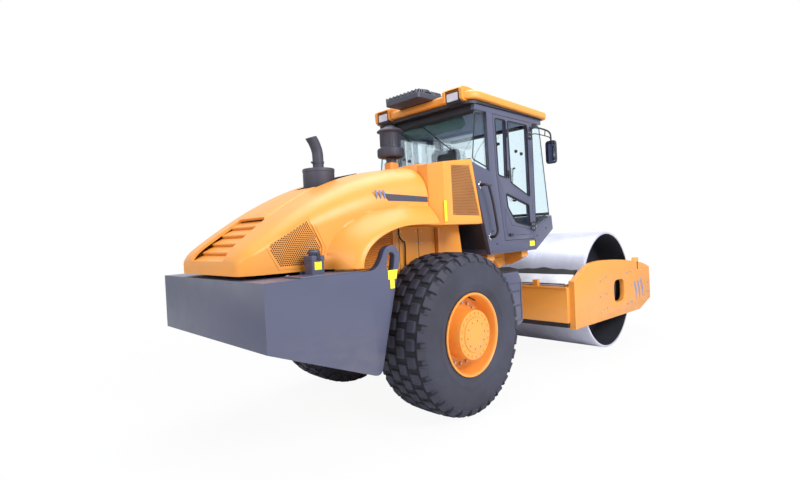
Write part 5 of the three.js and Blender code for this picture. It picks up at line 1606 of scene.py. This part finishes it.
class ROLLER_OT_operator_place(bpy.types.Operator):
    """Seat with its cushions, base, console, column and hand wheel"""
    bl_idname = "roller.operator_place"
    bl_label = "Operator's place"

    def execute(self, context):
        black, cloth = finish("black plastic"), finish("seat cloth")
        cushions = (("seat_cushion", ((1.140, 1.580), (-0.235, 0.235), (1.966, 2.053), 0.0),
            lambda p: abs(p.z - 1.986) < 0.008 or p.z < 1.976), ("back_cushion", ((1.075, 1.160),
                (-0.225, 0.225), (2.086, 2.716), -0.055), lambda p: p.x < 1.065))
        for name, box, resting in cushions:
            made = piece(name, cushion(name, box, 0.022, resting), cloth, "rear_frame",
                angle=80, stands_for=["seat"] if name == "seat_cushion" else ())
        frame_parts = Shape()
        frame_parts.add(block((1.105, 1.585), (-0.245, 0.245), (1.952, 1.969)))
        frame_parts.add(slab([(1.070, -0.215, 1.991), (1.070, 0.215, 1.991), (1.045, 0.205, 2.691),
            (1.045, -0.205, 2.691)], (-0.012, 0, 0)))
        for side in (-1, 1):
            frame_parts.add(pipe([(1.125, side * 0.262, 1.961), (1.105, side * 0.268, 2.071),
                (1.080, side * 0.270, 2.221)], 0.010, 10))
            arm = rounded([(1.08, 2.236), (1.39, 2.253), (1.41, 2.273), (1.39, 2.291), (1.08, 2.281)],
                0.015, 3)
            frame_parts.add(prism(arm, "Y", *sorted((side * 0.244, side * 0.296))))
        piece("seat_frame", frame_parts, black, "rear_frame", 0.005)
        piece("seat_plinth", copied("seat_base"), black, "rear_frame", 0.010,
            stands_for=["seat_base"])
        fold = Shape().add(prism(rounded([(1.145, -0.206), (1.525, -0.206), (1.525, 0.206),
            (1.145, 0.206)], 0.03), "Z", 1.651, 1.665))
        folds = grow("row", fold.mesh("fold"), finish("seal"), {"Count": 9, "Step": (0, 0, 0.030)})
        piece("seat_bellows", folds, finish("seal"), "rear_frame", 0.004)
        piece("column_body", copied("steering_column"), black, "rear_frame", 0.008,
            stands_for=["steering_column"])
        dash = Shape().add(prism(rounded([(1.700, 2.011), (1.800, 2.021), (1.840, 2.111), (1.780, 2.151),
            (1.710, 2.101)], 0.02), "Y", -0.15, 0.15))
        dash.add(block((1.16, 1.62), (-0.40, -0.29), (1.976, 2.076)))
        dash.add(block((1.24, 1.54), (-0.385, -0.305), (1.503, 1.981)))
        dash.add(rod((1.540, -0.345, 2.071), (1.565, -0.345, 2.221), 0.009))
        dash.add(lathe([(0.0, 2.206), (0.014, 2.209), (0.022, 2.231), (0.020, 2.253), (0.010, 2.265),
            (0.0, 2.267)], (1.565, -0.345, 0), "Z", 20))
        piece("dash_and_console", dash, black, "rear_frame", 0.010)
        axis = Vector((-0.080, 0, 0.680)).normalized()
        head = Vector((1.670, 0, 2.181))
        centre = head + axis * 0.0205
        ring, side_dir = Shape(), Vector((0, 1, 0))
        other = axis.cross(side_dir)
        profile = [(0.185 + 0.0145 * math.cos(math.pi * k / 6), 0.0145 * math.sin(math.pi * k / 6))
            for k in range(12)]
        ring.add(lathe(profile, centre, axis, 56))
        for k in range(3):
            turn = 2 * math.pi * k / 3 + 0.5
            way = side_dir * math.cos(turn) + other * math.sin(turn)
            ring.add(pipe([centre + way * 0.030, centre + way * 0.110 - axis * 0.004,
                centre + way * 0.180], 0.010, 10))
        ring.add(lathe([(0.0, -0.019), (0.042, -0.019), (0.044, 0.008), (0.036, 0.019), (0.0, 0.021)],
            centre, axis, 32))
        knob = centre + side_dir * 0.185
        ring.add(lathe([(0.0, 0.010), (0.009, 0.010), (0.009, 0.030), (0.018, 0.040), (0.018, 0.052),
            (0.010, 0.060), (0.0, 0.061)], knob, axis, 20))
        piece("hand_wheel_ring", ring, black, "hand_wheel", angle=50,
            stands_for=["steering_wheel"])
        return DONE


# ---------------------------------------------------------------- chassis, axle and steering
class ROLLER_OT_chassis(bpy.types.Operator):
    """Rear chassis with its cab brackets, and the rear axle"""
    bl_idname = "roller.chassis"
    bl_label = "Chassis and rear axle"

    def execute(self, context):
        details = context.scene.roller_details
        orange, zinc = finish("orange paint"), finish("zinc")
        piece("chassis_frame", copied("chassis"), orange, "rear_frame", details.soft_edge,
            stands_for=["chassis"])
        extras, marks, points, facings = Shape(), Shape(), [], []
        for side in SIDES.values():
            face = side * 0.420
            extras.add(slab([(1.480, face - side * 0.001, 1.235), (1.60, face - side * 0.001, 1.366),
                (1.34, face - side * 0.001, 1.366)], (0, side * 0.012, 0)))
            for x in (0.912, 1.020, 1.632, 1.740):
                extras.add(prism([(side * 0.415, 1.366), (side * 0.415, 1.255), (side * 0.500, 1.290),
                    (side * 0.650, 1.356), (side * 0.650, 1.366)], "X", x, x + 0.012))
            marks.add(slab([(1.200, side * 0.4325, 1.262), (1.325, side * 0.4325, 1.262),
                (1.325, side * 0.4325, 1.345), (1.200, side * 0.4325, 1.345)], (0, side * 0.0012, 0)))
            extras.add(block((1.190, 1.335), sorted((face - side * 0.001, side * 0.4325)), (1.252, 1.355)))
            for x, z in ((0.965, 1.340), (1.600, 1.340), (0.95, 1.19), (1.12, 1.20)):
                points.append((x, face - side * 0.0005, z))
                facings.append((0, side, 0))
            for x in (0.94, 1.00, 1.66, 1.72):
                points.append((x, side * 0.655, 1.3665))
                facings.append((0, 0, -1))
            for x, z in ((-0.95, 0.72), (-0.95, 1.02), (-0.62, 0.72), (0.45, 0.66), (0.45, 1.02),
                    (0.62, 0.84)):
                points.append((x, face - side * 0.0005, z))
                facings.append((0, side, 0))
            loop = pipe([(1.02, face, 1.205), (1.03, face + side * 0.045, 1.195),
                (1.12, face + side * 0.055, 1.17), (1.17, face + side * 0.030, 1.20),
                (1.19, face, 1.235)], 0.009, 10)
            extras.add(loop)
        piece("bracket_gussets", extras, orange, "rear_frame", 0.002)
        piece("bracket_labels", marks, finish("yellow label"), "rear_frame")
        piece("chassis_bolts", stud_mesh(points, facings, zinc, 6, 0.018, 0.014), zinc, "rear_frame")
        piece("axle_body", copied("rear_axle"), finish("orange paint"), "rear_frame",
            0.005, stands_for=["rear_axle"])
        ring = [p for y in (-0.112, 0.112) for p in circle_points(16, 0.165, 0, y, WHEEL_Z)]
        axle = stud_mesh(ring, [(0, math.copysign(1, p[1]), 0) for p in ring], zinc, 6, 0.010, 0.010)
        piece("axle_bolts", axle, zinc, "rear_frame")
        hoses = Shape()
        for side in (-1, 1):
            hoses.add(pipe([(1.145, side * 0.100, 1.075), (1.24, side * 0.120, 1.100),
                (1.33, side * 0.122, 1.120), (1.36, side * 0.120, 1.070)], 0.014, 12))
        piece("chassis_hoses", hoses, finish("seal"), "rear_frame")
        return DONE


class ROLLER_OT_articulation(bpy.types.Operator):
    """Centre knuckle with its pins, and the steering cylinders"""
    bl_idname = "roller.articulation"
    bl_label = "Articulation"

    def execute(self, context):
        orange, zinc = finish("orange paint"), finish("zinc")
        piece("knuckle_body", copied("centre_knuckle"), orange, "knuckle", 0.006,
            stands_for=["centre_knuckle"])
        pins = Shape()
        for low, high in ((0.530, 0.562), (1.058, 1.078)):
            pins.add(lathe([(0.0, low), (0.070, low), (0.074, low + 0.006), (0.074, high - 0.006),
                (0.070, high), (0.0, high)], (1.450, 0, 0), "Z", 40))
        piece("pivot_caps", pins, finish("cast iron"), "rear_frame")
        caps = circle_points(8, 0.055, 0, 0, 0)
        tops = [(1.450 + x, z, 1.0775) for x, _, z in caps] + [(1.450 + x, z, 0.5305) for x, _, z in caps]
        piece("pivot_bolts", stud_mesh(tops, [(0, 0, 1 if p[2] > 1 else -1) for p in tops], zinc, 6,
            0.009, 0.008), zinc, "rear_frame")
        ring = [(1.6385, y, 0.780 + z) for y, _, z in circle_points(12, 0.150, 0, 0, 0)]
        piece("flange_bolts", stud_mesh(ring, [(-1, 0, 0)] * 12, zinc, 6, 0.010, 0.009), zinc, "knuckle")
        for word, side in SIDES.items():
            barrel, bar = f"steer_barrel_{word}", f"steer_rod_{word}"
            piece(f"barrel_{word}", copied(barrel), finish("black plastic"), f"steer_cylinder_{word}",
                0.0015, stands_for=[barrel])
            piece(f"rod_{word}", copied(bar), finish("chrome"), f"steer_piston_{word}",
                0.001, stands_for=[bar])
            anchor, pin = Vector((0.770, side * 0.300, 0.780)), Vector((1.510, side * 0.240, 0.780))
            run = (pin - anchor).normalized()
            bands = Shape()
            for start, end in ((0.066, 0.086), (0.404, 0.4275)):
                bands.add(lathe([(0.0415, start), (0.0455, start + 0.002), (0.0455, end - 0.002),
                    (0.0415, end)], anchor, run, 32))
            bands.add(lathe([(0.0, 0.0), (0.010, 0.0), (0.010, 0.022), (0.0, 0.022)],
                anchor + run * 0.100 + Vector((0, 0, 0.040)), "Z", 16))
            bands.add(lathe([(0.0, 0.0), (0.010, 0.0), (0.010, 0.022), (0.0, 0.022)],
                anchor + run * 0.385 + Vector((0, 0, 0.040)), "Z", 16))
            piece(f"barrel_bands_{word}", bands, finish("cast iron"), f"steer_cylinder_{word}")
            for label, centre, body in (("anchor", anchor, "rear_frame"), ("rod", pin, "knuckle")):
                heads = Shape()
                for low, high in ((0.8300, 0.8385), (0.7215, 0.7300)):
                    heads.add(lathe([(0.0, low), (0.024, low), (0.026, (low + high) / 2), (0.024, high),
                        (0.0, high)], (centre.x, centre.y, 0), "Z", 28))
                piece(f"{label}_pin_heads_{word}", heads, zinc, body)
        return DONE


# ---------------------------------------------------------------- drum and front frame
class ROLLER_OT_drum(bpy.types.Operator):
    """Rolled drum shell with its dished heads and rubber-mounted carriers"""
    bl_idname = "roller.drum"
    bl_label = "Drum"

    def execute(self, context):
        centre = (DRUM_X, 0, DRUM_Z)
        outer = [(0.7755, 1.0496), (0.796, 1.0496), (0.8020, 1.046), (0.8036, 1.040)]
        skin = [*outer, *[(0.8038, 1.0 - i * 0.25) for i in range(9)], *[(r, -y) for r, y in reversed(outer)]]
        shell = Shape().add(lathe([*skin, (0.7755, -0.90), (0.7755, 0.90)], centre, "Y", 176))
        piece("drum_skin", shell, finish("drum steel"), "drum_roll", angle=28,
            stands_for=["drum"])
        heads = Shape()
        for side in SIDES.values():
            liner = [(0.7757, 1.0455), (0.7700, 1.0455), (0.7690, 1.035), (0.7690, 0.670), (0.760, 0.656),
                (0.740, 0.6505), (0.330, 0.6505), (0.322, 0.645), (0.318, 0.630), (0.205, 0.630),
                (0.200, 0.640), (0.198, 0.6500), (0.0, 0.6500), (0.0, 0.60), (0.7757, 0.60)]
            heads.add(lathe([(r, side * y) for r, y in liner], centre, "Y", 144))
        piece("drum_heads", heads, finish("drum inside"), "drum_roll", angle=35)
        points, facings, carrier_points, carrier_facings = [], [], [], []
        for word, side in SIDES.items():
            for x, y, z in circle_points(24, 0.262, 0, side * 0.6302, 0):
                points.append((DRUM_X + x, y, DRUM_Z + z))
                facings.append((0, side, 0))
            name = f"drum_carrier_{word}"
            piece(f"carrier_{word}", copied(name), finish("cast iron"), "front_frame", 0.003,
                stands_for=[name])
            for x, y, z in [*circle_points(12, 0.150, 0, side * 0.9996, 0), *circle_points(16, 0.300, 0,
                    side * 0.9996, 0, 0.1)]:
                carrier_points.append((DRUM_X + x, y, DRUM_Z + z))
                carrier_facings.append((0, -side, 0))
        zinc = finish("zinc")
        piece("head_bolts", stud_mesh(points, facings, zinc, 6, 0.012, 0.012), zinc, "drum_roll")
        piece("carrier_bolts", stud_mesh(carrier_points, carrier_facings, zinc, 6, 0.010, 0.010), zinc,
            "front_frame")
        return DONE


PLATE = 1.140
# bolt groups of the side plate: distance from the drum's axle, height
PLATE_BOLTS = [(-0.46, 0.965), (-0.36, 0.985), (-0.27, 1.000), (-0.46, 0.760), (-0.27, 0.775),
    (-0.46, 0.560), (-0.36, 0.570), (-0.27, 0.580), (0.45, 0.990), (0.54, 0.995), (0.63, 1.000),
    (0.45, 0.780), (0.62, 0.800), (0.45, 0.545), (0.54, 0.550), (0.63, 0.560), (1.12, 1.020),
    (1.30, 1.000), (1.30, 0.760), (1.12, 0.600), (1.30, 0.620)]


class ROLLER_OT_front_frame(bpy.types.Operator):
    """Front frame: side plates, cross beams, scraper and blank marks"""
    bl_idname = "roller.front_frame"
    bl_label = "Front frame"

    def execute(self, context):
        details = context.scene.roller_details
        orange, dark = finish("orange paint"), finish("seal")
        marks, slits, eyes, pads = Shape(), Shape(), Shape(), Shape()
        points, facings = [], []
        for word, side in SIDES.items():
            name = f"frame_side_{word}"
            piece(f"side_plate_{word}", copied(name), orange, "front_frame",
                details.soft_edge + 0.003, stands_for=[name], segments=3)
            face = sorted((side * (PLATE - 0.001), side * (PLATE + 0.0010)))
            for shift in (0.0, 0.13, 0.26):
                leaf = [(0.72, 0.830), (0.765, 0.850), (0.830, 0.700), (0.805, 0.560), (0.775, 0.690)]
                marks.add(prism([(DRUM_X + x + shift, z + 0.02 * shift) for x, z in leaf], "Y", *face))
            slit = rounded([(DRUM_X + 0.872, 1.010), (DRUM_X + 0.908, 1.010), (DRUM_X + 0.908, 1.125),
                (DRUM_X + 0.872, 1.125)], 0.017)
            slits.add(prism(slit, "Y", *face))
            for dx, z in PLATE_BOLTS:
                points.append((DRUM_X + dx, side * (PLATE - 0.0005), z))
                facings.append((0, side, 0))
            # thick border plate along the rear edge
            rear = [(DRUM_X - 1.2015, 0.452), (DRUM_X - 1.165, 0.451), (DRUM_X - 1.165, 1.050),
                (DRUM_X - 1.2015, 1.040)]
            eyes.add(prism(rear, "Y", *sorted((side * 1.062, side * 1.1415))))
            for dx, z in ((0.10, 0.45), (0.60, 0.43)):
                pads.add(block((DRUM_X + dx, DRUM_X + dx + 0.16), sorted((side * 1.062, side * 1.075)),
                    (z + 0.04, z + 0.14)))
        piece("plate_marks", marks, finish("blue mark"), "front_frame")
        piece("plate_slits", slits, finish("hole"), "front_frame")
        piece("plate_borders", eyes, orange, "front_frame", 0.006)
        piece("plate_pads", pads, orange, "front_frame", 0.004)
        zinc = finish("zinc")
        piece("plate_bolts", stud_mesh(points, facings, zinc, 6, 0.0125, 0.009), zinc, "front_frame")
        self.beams(details, orange, dark)
        return DONE

    def beams(self, details, orange, dark):
        piece("beam_rear", copied("frame_beam_rear"), orange, "front_frame",
            details.soft_edge + 0.004, stands_for=["frame_beam_rear"])
        piece("beam_front", copied("frame_beam_front"), orange, "front_frame",
            details.soft_edge + 0.004, stands_for=["frame_beam_front"])
        extras, bands = Shape(), Shape()
        extras.add(block((1.938, 1.965), (-1.064, 1.064), (0.952, 0.972)))
        extras.add(block((4.445, 4.472), (-1.064, 1.064), (0.932, 0.952)))
        for y in (-0.62, -0.32, 0.32, 0.62):
            extras.add(block((1.985, 2.045), (y - 0.035, y + 0.035), (0.958, 1.045)))
        for y in (-0.70, 0.0, 0.70):
            extras.add(prism([(4.458, 0.58), (4.458, 0.90), (4.500, 0.86), (4.500, 0.62)], "Y", y - 0.010,
                y + 0.010))
        piece("beam_plates", extras, orange, "front_frame", 0.003)
        bands.add(block((1.965, 2.185), (-1.060, 1.060), (0.470, 0.532)))
        bands.add(block((4.245, 4.445), (-1.060, 1.060), (0.465, 0.522)))
        piece("beam_scraper_bars", bands, finish("black plastic"), "front_frame", 0.006)
        plate, lip = [], []  # steel plate and the rubber along its upper edge
        for i in range(73):
            y = -0.978 + 1.956 * i / 72
            wave = 0.010 * math.sin(y * 9.0) + 0.006 * math.sin(y * 23.0 + 1.0)
            plate.append([(2.030, y, 0.9605), (2.190, y, 0.9605), (2.374, y, 1.093), (2.364, y, 1.105),
                (2.178, y, 0.984), (2.030, y, 0.982)])
            lip.append([(2.340, y, 1.066), (2.378, y, 1.090), (2.432, y, 1.136 + wave),
                (2.416, y, 1.152 + wave), (2.362, y, 1.108), (2.334, y, 1.088)])
        piece("scraper_plate", Shape().add(swept(plate)), finish("zinc"), "front_frame",
            angle=30)
        piece("scraper_rubber", Shape().add(swept(lip)), dark, "front_frame", angle=30,
              stands_for=["drum_scraper"])
        clamp = Shape().add(block((2.085, 2.125), (-0.960, 0.960), (0.982, 0.992)))
        piece("scraper_clamp", clamp, finish("cast iron"), "front_frame", 0.002)
        spots = [(2.105, -0.90 + 0.15 * i, 0.9915) for i in range(13)]
        piece("scraper_bolts", stud_mesh(spots, [(0, 0, 1)] * 13, finish("zinc"), 6, 0.010, 0.009),
            finish("zinc"), "front_frame")


# ---------------------------------------------------------------- stage
CAMERA_TURN = (45.576, -0.898, -2.766)  # degrees: round Z from +X, up, roll


def area_lamp(name, place, aim, size, power, tint=(1, 1, 1)):
    data = bpy.data.lights.new(name, "AREA")
    data.shape = "RECTANGLE"
    data.size, data.size_y = size
    data.energy = power
    data.color = tint
    lamp = bpy.data.objects.new(name, data)
    lamp.location = place
    lamp.rotation_euler = (Vector(aim) - Vector(place)).to_track_quat("-Z", "Y").to_euler()
    bpy.context.scene.collection.objects.link(lamp)
    return lamp


class ROLLER_OT_stage(bpy.types.Operator):
    """Pale floor, soft lamps and the camera"""
    bl_idname = "roller.stage"
    bl_label = "Stage"

    def execute(self, context):
        scene = context.scene
        stage = scene.roller_stage
        world = bpy.data.worlds.new("Studio")
        world.use_nodes = True
        tree = world.node_tree
        sky = tree.nodes["Background"]
        sky.inputs["Color"].default_value = (0.93, 0.96, 1.0, 1)
        sky.inputs["Strength"].default_value = stage.sky
        white = link_in(tree, "ShaderNodeBackground", {"Color": (1, 1, 1, 1), "Strength": 1.0})
        path = tree.nodes.new("ShaderNodeLightPath")
        seen = link_in(tree, "ShaderNodeMath", {0: path.outputs["Is Camera Ray"],
            1: path.outputs["Is Glossy Ray"]}, operation="MAXIMUM")
        seen = link_in(tree, "ShaderNodeMath", {0: seen.outputs[0],
            1: path.outputs["Is Transmission Ray"]}, operation="MAXIMUM")
        both = link_in(tree, "ShaderNodeMixShader", {0: seen.outputs[0], 1: sky.outputs[0],
            2: white.outputs[0]})
        tree.links.new(both.outputs[0], tree.nodes["World Output"].inputs["Surface"])
        scene.world = world
        floor_mesh = bpy.data.meshes.new("floor")
        floor_mesh.from_pydata([(-60, -60, 0), (60, -60, 0), (60, 60, 0), (-60, 60, 0)], [], [[0, 1, 2, 3]])
        floor = put("floor", floor_mesh)
        floor_mesh.materials.append(self.floor_finish())
        key = area_lamp("key", (-1.5, -9.0, 6.5), (0.3, 0, 1.4), (6, 4), stage.key_power)
        fill = area_lamp("fill", (-9.5, -1.0, 5.0), (-1.0, 0, 1.2), (5, 4), stage.key_power * 0.20)
        top = area_lamp("top", (0.5, 1.0, 9.0), (0.2, 0, 1.5), (8, 6), stage.key_power * 0.60)
        data = bpy.data.cameras.new("view")
        data.lens, data.sensor_width, data.clip_end = stage.lens, 36, 300
        camera = bpy.data.objects.new("view", data)
        yaw, pitch, roll = (math.radians(a) for a in CAMERA_TURN)
        forward = Vector((math.cos(pitch) * math.cos(yaw), math.cos(pitch) * math.sin(yaw), math.sin(pitch)))
        right = forward.cross(Vector((0, 0, 1))).normalized()
        up = right.cross(forward)
        across = right * math.cos(roll) + up * math.sin(roll)
        upright = up * math.cos(roll) - right * math.sin(roll)
        turn = Matrix((across, upright, -forward)).transposed().to_4x4()
        camera.matrix_world = Matrix.Translation(stage.eye) @ turn
        scene.collection.objects.link(camera)
        scene.camera = camera
        scene.view_settings.view_transform = "Standard"
        return DONE

    def floor_finish(self):
        made = bpy.data.materials.new("Pale floor")
        made.use_nodes = True
        tree = made.node_tree
        surface = tree.nodes["Principled BSDF"]
        surface.inputs["Base Color"].default_value = (0.86, 0.86, 0.87, 1)
        surface.inputs["Roughness"].default_value = 0.9
        glow = link_in(tree, "ShaderNodeEmission", {"Color": (1, 1, 1, 1), "Strength": 1.0})
        path = tree.nodes.new("ShaderNodeLightPath")
        place = tree.nodes.new("ShaderNodeTexCoord")
        away = link_in(tree, "ShaderNodeVectorMath", {0: place.outputs["Object"]},
            operation="LENGTH").outputs["Value"]
        rise = link_in(tree, "ShaderNodeMapRange", {"Value": away, "From Min": 3.5, "From Max": 7.0,
            "To Min": 0.93, "To Max": 1.0})
        share = link_in(tree, "ShaderNodeMath", {0: path.outputs["Is Camera Ray"], 1: rise.outputs[0]},
            operation="MULTIPLY")
        both = link_in(tree, "ShaderNodeMixShader", {0: share.outputs[0], 1: surface.outputs[0],
            2: glow.outputs[0]})
        tree.links.new(both.outputs[0], tree.nodes["Material Output"].inputs["Surface"])
        return made


# ---------------------------------------------------------------- panel and order of work
STEPS = (ROLLER_OT_tyres, ROLLER_OT_rims, ROLLER_OT_hood, ROLLER_OT_counterweight, ROLLER_OT_filler,
    ROLLER_OT_exhaust, ROLLER_OT_precleaner, ROLLER_OT_engine_bay, ROLLER_OT_cowl, ROLLER_OT_cab_shell,
    ROLLER_OT_doors, ROLLER_OT_roof, ROLLER_OT_cab_fittings, ROLLER_OT_operator_place, ROLLER_OT_chassis,
    ROLLER_OT_articulation, ROLLER_OT_drum, ROLLER_OT_front_frame, ROLLER_OT_stage)
GROUPS_OF_VALUES = {"roller_colours": RollerColours, "roller_details": RollerDetails,
    "roller_stage": RollerStage}


class ROLLER_PT_panel(bpy.types.Panel):
    """Buttons for each step and the values behind them"""
    bl_idname = "ROLLER_PT_panel"
    bl_label = "Road Roller"
    bl_space_type = "VIEW_3D"
    bl_region_type = "UI"
    bl_category = "Road Roller"

    def draw(self, context):
        for step in STEPS:
            self.layout.operator(step.bl_idname)
        for name, group in GROUPS_OF_VALUES.items():
            box = self.layout.box()
            values = getattr(context.scene, name)
            for field in group.__annotations__:
                box.prop(values, field)


def register():
    for item in (*GROUPS_OF_VALUES.values(), *STEPS, ROLLER_PT_panel):
        bpy.utils.register_class(item)
    for name, group in GROUPS_OF_VALUES.items():
        setattr(bpy.types.Scene, name, PointerProperty(type=group))


def unregister():
    for name in GROUPS_OF_VALUES:
        delattr(bpy.types.Scene, name)
    for item in (ROLLER_PT_panel, *reversed(STEPS), *reversed(GROUPS_OF_VALUES.values())):
        bpy.utils.unregister_class(item)


def main():
    register()
    for step in STEPS:
        group, name = step.bl_idname.split(".")
        getattr(getattr(bpy.ops, group), name)()


if __name__ == "__main__":
    main()
